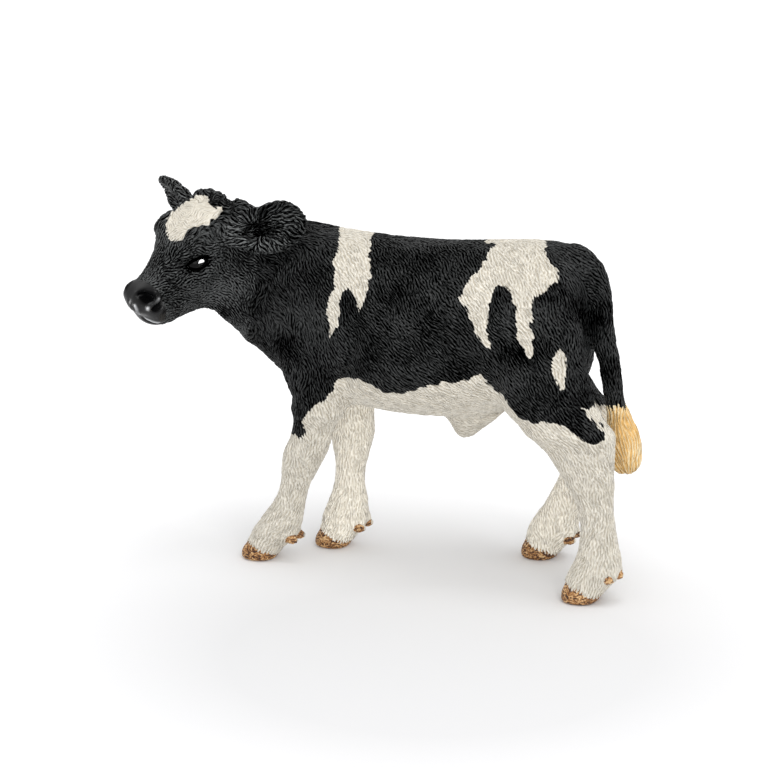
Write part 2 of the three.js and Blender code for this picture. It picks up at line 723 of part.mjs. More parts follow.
// Sheath: a drawn-out fold under the belly, lofted from its root to a tip that leans forwards.
function sheathForm() {
  const rings = smoothRows(SHEATH_ROW_SHARES).map(([drop, girth, lean]) => ovalRing({
    centre: new THREE.Vector3(
      BODY_LENGTH * SHEATH_AT_SHARE - SHEATH_TIP_OFFSET * lean,
      0,
      BACK_HEIGHT - TRUNK_DEPTH - SHEATH_LENGTH * drop,
    ),
    side: new THREE.Vector3(0, 1, 0),
    up: new THREE.Vector3(1, 0, 0),
    halfWidth: (SHEATH_WIDTH / 2) * girth,
    above: (SHEATH_BASE / 2) * girth,
    below: (SHEATH_BASE / 2) * girth,
    fullness: ROUND_FULLNESS,
    sides: LIMB_SIDES,
  }));
  return solidOf(skin(rings));
}

// Pieces
function build() {
  const frame = headFrame();
  const grownTrunk = trunkForm(SEAM_GAP);
  const pieces = {};

  const neckSeam = seamOnNeck();
  const neck = cutAtSeam(trunkForm(), neckSeam);
  let torso = neck.held.add(sheathForm());
  let head = cutAtSeam(headForm(frame).add(neck.outer), neckSeam).outer;

  const sockets = [];
  for (const name of Object.keys(LEGS)) {
    const leg = legSizes(name);
    const seam = { at: legMiddle(leg, leg.seam), into: new THREE.Vector3(0, 0, 1) };
    const { outer, held } = cutAtSeam(legForm(leg), seam);
    pieces[name] = outer.subtract(grownTrunk)
      .subtract(hoofCleft(leg))
      .add(dewclaws(leg))
      .add(peg(seam, LEG_PEG_WIDTH, LEG_PEG_LENGTH));
    torso = torso.add(held);
    sockets.push(peg(seam, LEG_PEG_WIDTH, LEG_PEG_LENGTH, SEAM_GAP));
  }
  for (const socket of sockets) torso = torso.subtract(socket);
  torso = torso.subtract(peg(neckSeam, NECK_PEG_WIDTH, NECK_PEG_LENGTH, SEAM_GAP));
  for (const side of [-1, 1]) {
    head = head.add(eye(frame, side)).subtract(nostril(frame, side));
  }
  head = head.subtract(mouth(frame)).add(peg(neckSeam, NECK_PEG_WIDTH, NECK_PEG_LENGTH));

  const grownHead = headForm(frame, SEAM_GAP).add(grownTrunk);
  for (const name of ['left', 'right']) {
    const ear = earFrame(frame, name);
    const seam = { at: ear.seat, into: ear.along.clone().negate() };
    const stalk = peg(seam, EAR_PEG_WIDTH, EAR_PEG_LENGTH);
    pieces[`${name}_ear`] = earForm(ear).subtract(grownHead).add(stalk);
    head = head.subtract(peg(seam, EAR_PEG_WIDTH, EAR_PEG_LENGTH, SEAM_GAP));
  }

  const rows = tailRows();
  const seamRow = Math.round((rows.length - 1) * TAIL_SEAM_SHARE);
  const tailSeam = { at: rows[seamRow].centre, into: new THREE.Vector3(-1, 0, 0) };
  const tail = cutAtSeam(tailForm(rows), tailSeam);
  torso = torso.add(tail.held).subtract(peg(tailSeam, TAIL_PEG_WIDTH, TAIL_PEG_LENGTH, SEAM_GAP));
  pieces.tail = tail.outer.subtract(grownTrunk).add(peg(tailSeam, TAIL_PEG_WIDTH, TAIL_PEG_LENGTH));
  return { torso, head, ...pieces };
}

function painted(name, solid) {
  const white = name.endsWith('leg');
  const mesh = new THREE.Mesh(geometryOf(solid), new THREE.MeshStandardMaterial({
    color: white ? COAT_WHITE : COAT_BLACK,
    roughness: 0.6,
    metalness: 0,
  }));
  mesh.name = name;
  return mesh;
}

const figure = new THREE.Group();
for (const [name, solid] of Object.entries(build())) {
  figure.add(painted(name, solid));
}

// The origin is the middle of the figure's footprint, on the ground.
const box = new THREE.Box3().setFromObject(figure);
const middle = box.getCenter(new THREE.Vector3());
figure.position.set(-middle.x, -middle.y, -box.min.z);

export default figure;
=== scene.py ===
"""Painted toy calf: a solid PVC figure whose coat is carved in short strokes, on the CAD frame.

The coat runs over every glue seam without a break, so no single grid of two parameters can cover
it. Its skin is the level surface of a distance field: the solids' own fields are worked out as
arrays, blended where two limbs meet and sculpted at the face. The surface is then refined, and
pushed in and out by a relief of carved hair, again as whole numpy arrays. Eyes and lids are grids
of two parameters. Lengths are millimetres until a mesh is made.
"""

import math

import bpy
import numpy as np
import openvdb
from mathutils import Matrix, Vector


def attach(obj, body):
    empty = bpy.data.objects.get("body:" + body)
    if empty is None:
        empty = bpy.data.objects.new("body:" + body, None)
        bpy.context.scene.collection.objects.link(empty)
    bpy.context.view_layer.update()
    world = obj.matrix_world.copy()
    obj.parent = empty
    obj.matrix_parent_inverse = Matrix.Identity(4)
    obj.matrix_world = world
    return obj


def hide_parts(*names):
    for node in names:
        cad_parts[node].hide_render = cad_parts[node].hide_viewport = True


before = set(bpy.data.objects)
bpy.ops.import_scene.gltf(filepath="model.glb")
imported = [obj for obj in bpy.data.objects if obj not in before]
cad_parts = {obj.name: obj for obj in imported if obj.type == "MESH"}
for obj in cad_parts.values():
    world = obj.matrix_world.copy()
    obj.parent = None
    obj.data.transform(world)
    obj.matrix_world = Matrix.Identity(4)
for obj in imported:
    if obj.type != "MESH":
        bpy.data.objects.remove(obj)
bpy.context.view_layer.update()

MM = 0.001  # metres in a millimetre
RNG = np.random.default_rng(7)

# The figure's own middle plane, and the axis that the patches are unrolled about.
MIDDLE_Y = 2.64
AXIS_Z = 38.0
UNROLL_RADIUS = 12.5

# Head frame: the poll, and the directions forward, left and up of the turned head.
POLL = np.array([-28.28, -3.99, 55.8])
YAW, PITCH, ROLL = np.radians([58.0, 29.0, 8.0])


def head_axes():
    """Rows forward, left and up: level axes turned by the yaw, then pitched and rolled."""
    level = np.array([-np.cos(YAW), -np.sin(YAW), 0])
    across = np.array([np.sin(YAW), -np.cos(YAW), 0])
    upright = np.array([0, 0, 1.0])
    forward = level * np.cos(PITCH) - upright * np.sin(PITCH)
    crown = level * np.sin(PITCH) + upright * np.cos(PITCH)
    left = across * np.cos(ROLL) - crown * np.sin(ROLL)
    up = crown * np.cos(ROLL) + across * np.sin(ROLL)
    return np.array([forward, left, up])


HEAD = head_axes()


def on_head(point):
    """A point given as forward, left and up of the poll, in the figure's frame."""
    return POLL + np.asarray(point, float) @ HEAD


def in_head(points):
    """Points as forward, left and up of the poll."""
    return (points - POLL) @ HEAD.T


def unit(vectors):
    """Vectors divided by their length."""
    length = np.linalg.norm(vectors, axis=-1, keepdims=True)
    return vectors / np.maximum(length, 1e-9)


def ramp(value, start, end):
    """Goes from 0 at the start to 1 at the end, smoothly: 3 t squared less 2 t cubed."""
    t = np.clip((value - start) / (end - start), 0, 1)
    return t * t * (3 - 2 * t)


# ---------------------------------------------------------------- distance field of the solids
VOXEL = 0.27
BAND = 3.0  # the fields are true distances as far as this from a surface
MARGIN = 2.0

# First cell and size of the volume, which holds all the CAD solids.
BOXES = [node.bound_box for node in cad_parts.values()]
CORNERS = np.array(BOXES).reshape(-1, 3) / MM
FIRST = np.floor((CORNERS.min(axis=0) - MARGIN) / VOXEL).astype(int)
SHAPE = tuple(np.ceil((CORNERS.max(axis=0) + MARGIN) / VOXEL).astype(int) - FIRST + 1)


def solid_of(node):
    """Corners and triangles of a CAD solid, its loose corners merged to a thousandth."""
    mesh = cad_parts[node].data
    mesh.calc_loop_triangles()
    points = np.empty(len(mesh.vertices) * 3, np.float32)
    corners = np.empty(len(mesh.loop_triangles) * 3, np.int32)
    mesh.vertices.foreach_get("co", points)
    mesh.loop_triangles.foreach_get("vertices", corners)
    points = points.reshape(-1, 3) / MM
    keys = np.round(points * 1000).astype(np.int64)
    _, first, back = np.unique(keys, axis=0, return_index=True, return_inverse=True)
    return points[first], back.reshape(-1)[corners].reshape(-1, 3)


def level_set(points, band, **faces):
    """Narrow field of signed distances round a closed surface."""
    return openvdb.FloatGrid.createLevelSetFromPolygons(
        points.astype(np.float32),
        transform=openvdb.createLinearTransform(VOXEL),
        halfWidth=band / VOXEL,
        **faces,
    )


def field_of(node, close=0.0):
    """Distance field of a solid. Creases that point inwards are first rounded to a radius, by
    growing the surface outwards by it and then shrinking the result back."""
    points, faces = solid_of(node)
    grid = level_set(points, BAND + close, triangles=faces.astype(np.uint32))
    if close:
        points, quads = grid.convertToQuads(isovalue=close)
        grid = level_set(points, BAND + close, quads=quads)
        points, quads = grid.convertToQuads(isovalue=-close)
        grid = level_set(points, BAND, quads=quads)
    block = np.zeros(SHAPE, np.float32)
    grid.copyToArray(block, ijk=tuple(int(i) for i in FIRST))
    return np.clip(block, -BAND, BAND)


def blended(a, b, reach):
    """Smooth union: the lesser distance, lowered where both are nearly equal by a parabola."""
    nearness = np.maximum(reach - np.abs(a - b), 0) / reach
    return np.minimum(a, b) - nearness * nearness * (reach / 4)


def softened(field, sigma):
    """Gaussian blur of the field, one axis after another."""
    taps = int(np.ceil(2.5 * sigma / VOXEL))
    weights = np.exp(-0.5 * (np.arange(-taps, taps + 1) * VOXEL / sigma) ** 2)
    weights = (weights / weights.sum()).astype(np.float32)
    for axis in range(3):
        padded = np.pad(field, [(taps, taps) if a == axis else (0, 0) for a in range(3)], "edge")
        length = field.shape[axis]
        total = np.zeros_like(field)
        for tap, weight in enumerate(weights):
            span = [slice(None)] * 3
            span[axis] = slice(tap, tap + length)
            total += weight * padded[tuple(span)]
        field = total
    return field


def sampled(volume, place):
    """Values of a volume between its cells, weighted by nearness along each axis. The volume
    repeats outside itself."""
    cell = np.floor(place).astype(np.int32)
    part = (place - cell).astype(np.float32)
    flat = volume.reshape(-1)
    nx, ny, nz = volume.shape
    value = np.zeros(len(place), np.float32)
    rows = [(cell[:, a] % n, (cell[:, a] + 1) % n) for a, n in enumerate((nx, ny, nz))]
    sides = [(1 - part[:, a], part[:, a]) for a in range(3)]
    for i, j in np.ndindex(2, 2):
        row = (rows[0][i] * ny + rows[1][j]) * nz
        line = flat[row + rows[2][0]] * sides[2][0] + flat[row + rows[2][1]] * sides[2][1]
        value += sides[0][i] * sides[1][j] * line
    return value


def distance_at(field, points):
    """Field values at points in millimetres."""
    return sampled(field, points / VOXEL - FIRST)


def sculpt(field, at, radii, reach, add, turn):
    """Adds or takes away an ellipsoid, blended over a reach. Its distance is estimated as
    k (k - 1) / g, with k the scaled radius and g the size of k's slope."""
    span = np.abs(turn.T) @ np.asarray(radii, float) + reach + 4 * VOXEL
    low = np.clip(np.floor((at - span) / VOXEL).astype(int) - FIRST, 0, SHAPE)
    high = np.clip(np.ceil((at + span) / VOXEL).astype(int) - FIRST, 0, SHAPE)
    window = tuple(slice(a, b) for a, b in zip(low, high))
    axes = [np.arange(a, b) for a, b in zip(low, high)]
    grid = np.stack(np.meshgrid(*axes, indexing="ij"), axis=-1)
    local = ((grid + FIRST) * VOXEL - at) @ turn.T
    k = np.linalg.norm(local / radii, axis=-1)
    slope = np.linalg.norm(local / np.square(radii), axis=-1)
    ball = (k * (k - 1) / np.maximum(slope, 1e-6)).astype(np.float32)
    block = field[window]
    field[window] = blended(block, ball, reach) if add else -blended(-block, ball, reach)


# ------------------------------------------------------------------------------ face sculpture
# Left eye: middle of the ball, then rows along the lids, outwards and up, all in the head frame.
EYE_AT = np.array([6.45, 3.6, -3.7])
EYE_AXES = np.array([[0.926, -0.287, 0.243], [0.278, 0.958, 0.074], [-0.254, 0.0, 0.967]])
EYE_RADII = np.array([1.9, 1.45, 1.2])
# Its socket: how far outwards it lies, half sizes, blend reach, and taken away.
SOCKET_OUT = 1.75
SOCKET = ((2.5, 1.1, 1.4), 0.8, False)

# Forward, left and up of the poll, then half sizes, blend reach, and add or take away.
FACE_FORMS = [
    ((15.4, 2.3, -4.7), (1.6, 1.5, 1.4), 1.0, True),  # nostril wing
    ((16.6, 0.0, -5.7), (1.5, 2.3, 1.2), 1.0, True),  # upper lip
    ((15.2, 0.0, -8.5), (1.9, 2.6, 1.5), 1.2, True),  # chin and lower lip
    ((4.6, 3.2, -0.3), (2.1, 1.4, 1.6), 1.4, True),  # brow
    ((7.2, 3.9, -5.9), (3.6, 1.1, 1.6), 1.6, True),  # cheek bone
]
# The nose is turned a little more than the skull, so its middle lies to the right of the face's
# and each of its openings is placed by itself.
NOSE_FORMS = [
    ((16.3, 1.85, -3.9), (1.3, 1.85, 0.65), 0.6, False),  # near nostril
    ((15.6, -3.8, -4.3), (1.2, 1.0, 0.65), 0.6, False),  # far nostril
    ((15.5, 3.9, -5.6), (1.6, 1.1, 0.8), 0.4, False),  # near corner of the mouth
    ((17.0, 2.9, -5.05), (0.45, 0.45, 0.45), 0.2, True),  # wet bead at the lip's corner
]
NOSE_MIDDLE = -1.1
NOSE_START = 14.0  # where the nose begins, ahead of the poll
# Where the muzzle loses its shine, a painted shade in the nostrils and the corner of the mouth.
OPENINGS = [
    ((15.9, 1.85, -3.85), (2.3, 2.05, 0.95)),
    ((15.4, -3.6, -4.3), (1.6, 1.1, 0.8)),
    ((15.7, 3.4, -5.5), (1.2, 1.0, 1.0)),
]
# Thick hair between the crown and the near ear, in the same form.
EAR_TUFT = ((-3.2, 5.2, -0.9), (1.7, 1.8, 1.8), 1.5, True)
# Ragged end of the tuft, in the figure's frame.
TUFT_END = ((37.3, 2.64, 20.4), (1.6, 1.2, 2.2), 1.0, True)

# Middle of each ear's hollow, and the directions along it and out of its face.
EARS = {
    "left_ear": ((-19.3, -3.5, 53.5), (0.973, 0.018, 0.232), (-0.023, -0.985, 0.172)),
    "right_ear": ((-35.1, 2.1, 54.3), (-0.687, 0.717, 0.117), (-0.690, -0.593, -0.415)),
}

# On each ear, the pad behind its hollow and the canal in it: place along, across and out of the
# ear, then as above.
EAR_FORMS = [
    ((0, 0, -1.3), (2.6, 1.7, 1.1), 1.2, True),
    ((-0.2, 0, 0), (2.3, 0.75, 1.3), 0.8, False),
]

# Dewclaws behind each fetlock, two to a leg, in the order of the legs.
DEWCLAWS = np.array([
    (-14.1, -4.3, 4.0), (-14.0, -1.3, 3.9), (-6.3, 5.4, 3.6), (-6.2, 8.5, 3.6),
    (38.0, -6.7, 4.4), (38.8, -4.7, 4.5), (26.8, 10.3, 3.7), (26.8, 13.4, 3.8),
])
CLAW = ((1.15, 0.85, 0.85), 0.4, True)
CLAW_HORN = 1.05  # radius of the horn's paint on a dewclaw
# Toe end of the line between the two claws of each hoof, and the cleft along it.
CLEFTS = [(-22.6, -2.6), (-13.7, 6.6), (30.5, -5.2), (18.8, 12.3)]
CLEFT_HEIGHT = 0.6
CLEFT = ((2.6, 0.28, 2.2), 0.5, False)


def carve(field):
    """Each face form on both sides of the face, or once where it lies on the middle, then the
    nose, the tufts, the eye sockets, the ears, the dewclaws and the clefts."""
    for (ahead, side, up), radii, reach, add in FACE_FORMS:
        for hand in (1, -1) if side else (1,):
            sculpt(field, on_head((ahead, side * hand, up)), radii, reach, add, HEAD)
    for place, *form in NOSE_FORMS:
        sculpt(field, on_head(place), *form, HEAD)
    sculpt(field, on_head(EAR_TUFT[0]), *EAR_TUFT[1:], HEAD)
    sculpt(field, np.array(TUFT_END[0]), *TUFT_END[1:], np.eye(3))
    for hand in (1, -1):
        axes = EYE_AXES * (1, hand, 1)
        socket = EYE_AT * (1, hand, 1) + axes[1] * SOCKET_OUT
        sculpt(field, on_head(socket), *SOCKET, axes @ HEAD)
    for middle, along, face in EARS.values():
        turn = np.array([along, np.cross(face, along), face])
        for place, *form in EAR_FORMS:
            sculpt(field, middle + place @ turn, *form, turn)
    for claw in DEWCLAWS:
        sculpt(field, claw, *CLAW, np.eye(3))
    for x, y in CLEFTS:
        sculpt(field, np.array([x, y, CLEFT_HEIGHT]), *CLEFT, np.eye(3))


# --------------------------------------------------------------------------- skin of the coat
# Each solid, the radius that its creases are rounded to, and how far it blends into the rest.
SKIN_NODES = {
    "torso": (1.8, 0.0),
    "head": (1.8, 2.2),
    "left_foreleg": (0.0, 2.2),
    "right_foreleg": (0.0, 2.2),
    "left_hind_leg": (0.0, 2.2),
    "right_hind_leg": (0.0, 2.2),
    "left_ear": (0.0, 1.6),
    "right_ear": (0.0, 1.6),
    "tail": (0.0, 0.7),
}
SOFTENING = 0.4  # blur that takes the facets off the CAD
NAMES = list(SKIN_NODES)
TORSO, SKULL, TAIL = (NAMES.index(name) for name in ("torso", "head", "tail"))


def coat_field():
    """All the solids blended into one field, and each solid's own field."""
    own = {node: field_of(node, close) for node, (close, _) in SKIN_NODES.items()}
    whole = own["torso"]
    for node in NAMES[1:]:
        whole = blended(whole, own[node], SKIN_NODES[node][1])
    whole = softened(whole, SOFTENING)
    carve(whole)
    return whole, own


def level_surface(field):
    """Points and quads where the field is zero."""
    grid = openvdb.FloatGrid(BAND)
    grid.copyFromArray(field, ijk=tuple(int(i) for i in FIRST))
    grid.transform = openvdb.createLinearTransform(VOXEL)
    points, quads = grid.convertToQuads(isovalue=0.0)
    return points.astype(float), quads.astype(np.int64)


def gathered(quads, values, count):
    """Sum of one row of values per quad over the quad's corners."""
    total = np.zeros((count, values.shape[1]))
    for corner in range(4):
        for k in range(values.shape[1]):
            total[:, k] += np.bincount(quads[:, corner], values[:, k], count)
    return total


def refined(points, quads):
    """Splits each quad in four, then moves every point to the mean of the middles of the quads
    round it, as Catmull and Clark's scheme does."""
    count = len(points)
    edges = np.concatenate([quads[:, [k, (k + 1) % 4]] for k in range(4)])
    edges.sort(axis=1)
    keys, back = np.unique(edges[:, 0] * count + edges[:, 1], return_inverse=True)
    middles = (points[keys // count] + points[keys % count]) / 2
    centres = points[quads].mean(axis=1)
    rim = count + back.reshape(4, -1)
    hub = count + len(keys) + np.arange(len(quads))
    split = np.concatenate([
        np.column_stack([quads[:, k], rim[k], hub, rim[(k + 3) % 4]]) for k in range(4)
    ])
    points = np.vstack([points, middles, centres])
    centres = points[split].mean(axis=1)
    total = gathered(split, np.column_stack([centres, np.ones(len(split))]), len(points))
    return total[:, :3] / total[:, 3:], split


def vertex_normals(points, quads):
    """Sum of each quad's area vector over its corners, made unit length."""
    across = points[quads[:, 2]] - points[quads[:, 0]]
    along = points[quads[:, 3]] - points[quads[:, 1]]
    return unit(gathered(quads, np.cross(across, along), len(points)))


# Soft pushes that bring the skin onto the photograph's outline: place and reach in the head
# frame, then the shift in it.
NUDGES = [
    ((-1.3, 1.4, 3.6), 3.0, (0.25, 0.15, -1.3)),  # crown
    ((-2.8, 4.4, 0.8), 1.6, (-0.37, -0.2, 0.42)),  # tuft beside the crown
    ((-4.3, 7.3, 0.5), 1.8, (0.4, 0.2, -0.46)),  # dip before the ear
    ((14.2, -1.2, -2.3), 2.6, (0.1, 0.1, -0.8)),  # bridge of the nose
    ((6.8, -3.4, 0.1), 2.2, (0.34, -0.34, 0.14)),  # far brow
]
EAR_STRETCH = 1.0
TAIL_BEND = 0.65  # rearwards, most between 29 and 34 mm up
TUFT_BEND = 0.3  # forwards, below 22 mm


def nudged(points, owner):
    """Points moved by soft pushes, shift times exp(-(distance / reach) squared), by a stretch of
    the near ear away from its seat, and by a bend of the tail."""
    local = in_head(points)
    shift = np.zeros_like(points)
    for place, reach, push in NUDGES:
        near = np.exp(-np.sum((local - place) ** 2, axis=1) / reach**2)
        shift += near[:, None] * (np.array(push) @ HEAD)
    middle, along, _ = EARS["left_ear"]
    ours = owner == NAMES.index("left_ear")
    far = ramp((points[ours] - middle) @ np.array(along), -2.5, 6.0)
    shift[ours] += EAR_STRETCH * far[:, None] * along
    tail = owner == TAIL
    height = points[tail, 2]
    shift[tail, 0] += TAIL_BEND * ramp(height, 24, 29) * ramp(-height, -42, -34)
    shift[tail, 0] -= TUFT_BEND * ramp(-height, -25, -22)
    return points + shift


# --------------------------------------------------------------------------------- hair flow
# A slow wave turns the hair: its length, then the radians where the hair lies straight, and those
# added where it curls.
TURN_WAVE, STRAIGHT_TURN, CURL_TURN = 3.0, 0.2, 0.9
# Which way the hair lies: place, then direction. The right side mirrors the left.
FLOW = np.array([
    (-20, -7, 45, 0.30, 0, -0.95), (-20, -6, 51, 0.75, 0, -0.65),
    (-19, -5, 39, 0.25, 0, -0.97), (-12, -8, 45, 0.35, 0, -0.94),
    (-10, -9, 36, 0.35, 0, -0.94), (-15, -7, 33, 0.15, 0, -0.99),
    (-5, -8, 44, 0.55, 0, -0.83), (0, -9, 38, 0.66, 0, -0.75),
    (0, -4, 51, 0.60, -0.5, -0.62), (10, -9, 40, 0.70, 0, -0.71),
    (10, -8, 32, 0.78, 0, -0.62), (10, -3, 51, 0.62, -0.5, -0.60),
    (20, -9, 42, 0.62, 0, -0.78), (22, -8, 34, 0.74, 0, -0.67),
    (22, -3, 52, 0.55, -0.5, -0.66), (29, -7, 45, 0.38, 0, -0.92),
    (28, -9, 36, 0.50, 0, -0.86), (33, -8, 38, 0.22, 0, -0.97),
    (32, -9, 29, 0.66, 0, -0.75), (25, -8, 27, 0.74, 0, -0.66),
    (5, -2, 26, 0.95, 0, -0.2), (15, -1, 25, 0.95, 0, -0.3),
    (31, -5, 20, 0.25, 0, -0.97), (33, -5, 8, -0.1, 0, -0.99),
    (-15, -4, 20, -0.15, 0, -0.99), (-19, -4, 8, -0.4, 0, -0.9),
    (-11, -4, 27, 0.2, 0, -0.98), (36, 2.6, 40, 0.15, 0, -0.98),
    (38, 2.6, 25, 0.25, 0, -0.96), (33, 2.6, 51, 0.9, 0, -0.4),
])
# The same on the head, in its own frame.
HEAD_FLOW = np.array([
    (16, 2, -3, -0.8, 0.4, -0.3), (11, 0, -1.5, -0.95, 0, 0.3),
    (11, 3, -5, -0.85, 0, -0.5), (7, 0, 0.5, -0.9, 0.2, 0.4),
    (6, 4, -7, -0.75, 0, -0.65), (2, 4, -9, -0.5, 0, -0.85),
    (2, 0, 2.5, -0.9, 0.4, 0.1), (-1, 2, 2.5, -0.6, 0.75, -0.2),
    (0, 4.5, -4, -0.8, 0.2, -0.6), (10, 0, -12, -0.9, 0, -0.3),
])


def slow_noise(points, size, waves=24):
    """Sum of plane waves in random directions, about a wave per size, from about -1 to 1."""
    heading = unit(RNG.normal(size=(waves, 3)))
    turns = 2 * np.pi / (size * RNG.uniform(0.8, 2.0, waves))
    phase = RNG.uniform(0, 2 * np.pi, waves)
    total = np.zeros(len(points))
    for k in range(waves):
        total += np.sin((points @ heading[k]) * turns[k] + phase[k])
    return total / math.sqrt(waves / 2) * 0.7


def leaned(points, seeds, middle):
    """Sum of the seeds' directions, weighted by one over their distance to the fourth power.
    Points past the middle plane use the seeds' mirror image."""
    hand = np.where(points[:, 1] > middle, -1.0, 1.0)
    folded = points.copy()
    folded[:, 1] = middle + (points[:, 1] - middle) * hand
    total = np.zeros_like(points)
    for seed in seeds:
        weight = 1 / (np.sum((folded - seed[:3]) ** 2, axis=1) + 1.0) ** 2
        total += weight[:, None] * seed[3:]
    total[:, 1] *= hand
    return total


def hair_flow(points, normals, owner, curls):
    """Lie of the hair: seeds blended, ears radiating from their hollow, laid flat on the surface
    and turned by a slow wave, which is strong where the hair curls."""
    total = leaned(points, FLOW, MIDDLE_Y)
    skull = leaned(in_head(points) * (1, -1, 1), HEAD_FLOW * (1, -1, 1, 1, -1, 1), 0.0)
    total += (skull * (1, -1, 1)) @ HEAD * 2
    for node, (middle, along, face) in EARS.items():
        ours = owner == NAMES.index(node)
        away = points[ours] - middle
        front = ramp(normals[ours] @ np.array(face), -0.2, 0.3)[:, None]
        total[ours] = unit(away) * front + np.array(along) * (1 - front)
    total -= np.sum(total * normals, axis=1, keepdims=True) * normals
    along = unit(total)
    across = np.cross(normals, along)
    turn = ((STRAIGHT_TURN + CURL_TURN * curls) * slow_noise(points, TURN_WAVE))[:, None]
    return unit(along * np.cos(turn) + across * np.sin(turn))


# -------------------------------------------------------------------------------- hair relief
CELLS = 128
# Pitch and length of the strokes, from fine ones to locks.
FINE, BOLD, LOCKS = (0.46, 0.9), (0.9, 1.5), (1.9, 2.6)
# The same where the hair is carved apart from the rest, then the depth of its strokes.
NEAR_EAR_HAIR, FAR_EAR_HAIR = (0.6, 1.3, 0.3), (0.5, 1.2, 0.16)
STRANDS, FACE_HAIR = (0.5, 3.4, 0.14), (0.44, 0.6, 0.18)
LOCK_DEPTH = 0.14


def wave_volume(pitch, cell):
    """Random volume that repeats every 128 cells and holds waves of about one pitch: white noise
    with its spectrum cut to a shell, exp(-((pitch times frequency - 1) / 0.3) squared)."""
    spectrum = np.fft.rfftn(RNG.normal(size=(CELLS,) * 3))
    full = np.fft.fftfreq(CELLS, cell)
    half = np.fft.rfftfreq(CELLS, cell)
    radius = np.sqrt(full[:, None, None] ** 2 + full[None, :, None] ** 2 + half[None, None] ** 2)
    spectrum *= np.exp(-((pitch * radius - 1) / 0.3) ** 2)
    volume = np.fft.irfftn(spectrum, s=(CELLS,) * 3)
    return (volume / volume.std()).astype(np.float32)


def strokes(points, normals, flow, pitch, length):
    """Relief of strokes, 0 in the grooves and 1 on the ridges. The wave volume is averaged along
    the hair and a little along the normal, which leaves only waves that cross the hair."""
    cell = pitch / 4.3
    volume = wave_volume(pitch, cell)
    total = np.zeros(len(points), np.float32)
    for step in np.linspace(-0.5, 0.5, max(7, round(3 * length / pitch))):
        share = np.cos(np.pi * step) ** 2 + 0.1
        for lift, weight in ((-0.5, 0.25), (0, 0.5), (0.5, 0.25)):
            place = (points + flow * (step * length) + normals * (lift * pitch)) / cell
            total += share * weight * sampled(volume, place)
    total /= total.std()
    return 1 / (1 + np.exp(-2.6 * total - 0.5))


# ------------------------------------------------------------------------------ carved lines
UPPER_LIP = [
    (17.8, 0.6, -4.8), (17.9, 1.0, -5.3), (17.9, 1.0, -6.2), (17.75, 0.95, -7.0),
    (17.4, 1.35, -7.7), (17.2, 1.95, -7.9), (16.8, 2.5, -8.4), (16.3, 2.9, -8.9),
]
NOSTRIL_RIM = [(14.3, 3.4, -3.6), (15.2, 2.8, -3.0), (16.3, 0.9, -2.9), (17.0, 0.2, -3.6)]
NOSTRIL_FOLD = [(16.5, 2.95, -4.65), (15.8, 3.5, -4.6), (15.1, 3.9, -4.2)]
# Lines in the head's frame, on both sides: points, then width and depth, a rise if negative.
FACE_LINES = [
    ([(18.2, -1.1, -6.9), (18.0, 0.2, -7.0), (17.5, 0.5, -7.9), (17.2, 1.2, -8.35),
      (16.9, 1.9, -8.5), (16.4, 2.6, -9.2), (15.6, 3.1, -9.6)], 0.22, 0.42),  # mouth
    (UPPER_LIP, 0.2, -0.2),
    (NOSTRIL_RIM, 0.3, -0.12),
    (NOSTRIL_FOLD, 0.18, -0.15),
    ([(4.0, 5.0, -1.6), (5.4, 4.6, -0.9), (7.0, 4.0, -1.1), (8.4, 3.6, -2.0)], 0.35, 0.2),  # brow
    ([(17.5, -1.1, -4.8), (18.1, -1.1, -6.8)], 0.3, 0.1),  # furrow below the nose
    ([(17.6, -0.2, -5.1), (18.1, -0.2, -6.8)], 0.3, 0.06),  # wrinkle of the upper lip
    ([(4.2, 5.2, -4.8), (6.2, 5.0, -5.4), (8.4, 4.3, -4.8)], 0.4, 0.15),  # below the eye
]
# Lines on both flanks, seen from the side: points along the body and up, then width and depth.
FLANK_LINES = [
    ([(-2.5, 43.0), (-2.4, 38.5), (-2.9, 34.0), (-4.4, 31.2)], 1.0, 0.75),  # back of the shoulder
    ([(-9.6, 48.5), (-10.2, 44.5), (-11.0, 39.5), (-12.5, 35.5)], 1.6, 0.45),  # neck's root
    ([(15.0, 43.5), (16.0, 39.5), (17.6, 35.5), (20.5, 32.0)], 1.5, 0.45),  # front of the haunch
    ([(31.4, 37.0), (30.6, 32.5), (32.0, 29.0)], 1.1, 0.35),  # back of the thigh
    ([(5.0, 33.5), (11.0, 32.5), (16.0, 33.0)], 2.2, -0.4),  # fold of the flank
]


def line_distance(points, line):
    """Distance to a line of straight parts."""
    corners = np.array(line, float)
    nearest = np.full(len(points), 1e9)
    for a, b in zip(corners[:-1], corners[1:]):
        run = b - a
        t = np.clip((points - a) @ run / (run @ run), 0, 1)
        nearest = np.minimum(nearest, np.linalg.norm(points - a - t[:, None] * run, axis=1))
    return nearest


# Painted highlights on the muzzle's black, along the upper lip's edge and a fold of the
# nostril, and a glint on the bead at the lip's corner: points, width and amount.
PAINTED_HIGHLIGHT_LINES = [
    (UPPER_LIP, 0.22, 0.9),
    ([(17.2, 3.1, -4.8), (17.2, 3.0, -5.0)], 0.24, 1.0),  # bead at the lip's corner
    (NOSTRIL_FOLD, 0.18, 0.4),
]


def folded(local):
    """Places on the head with those on its right brought over to the left."""
    middle = NOSE_MIDDLE * ramp(local[:, 0], NOSE_START - 2, NOSE_START)
    return np.column_stack([local[:, 0], middle + np.abs(local[:, 1] - middle), local[:, 2]])


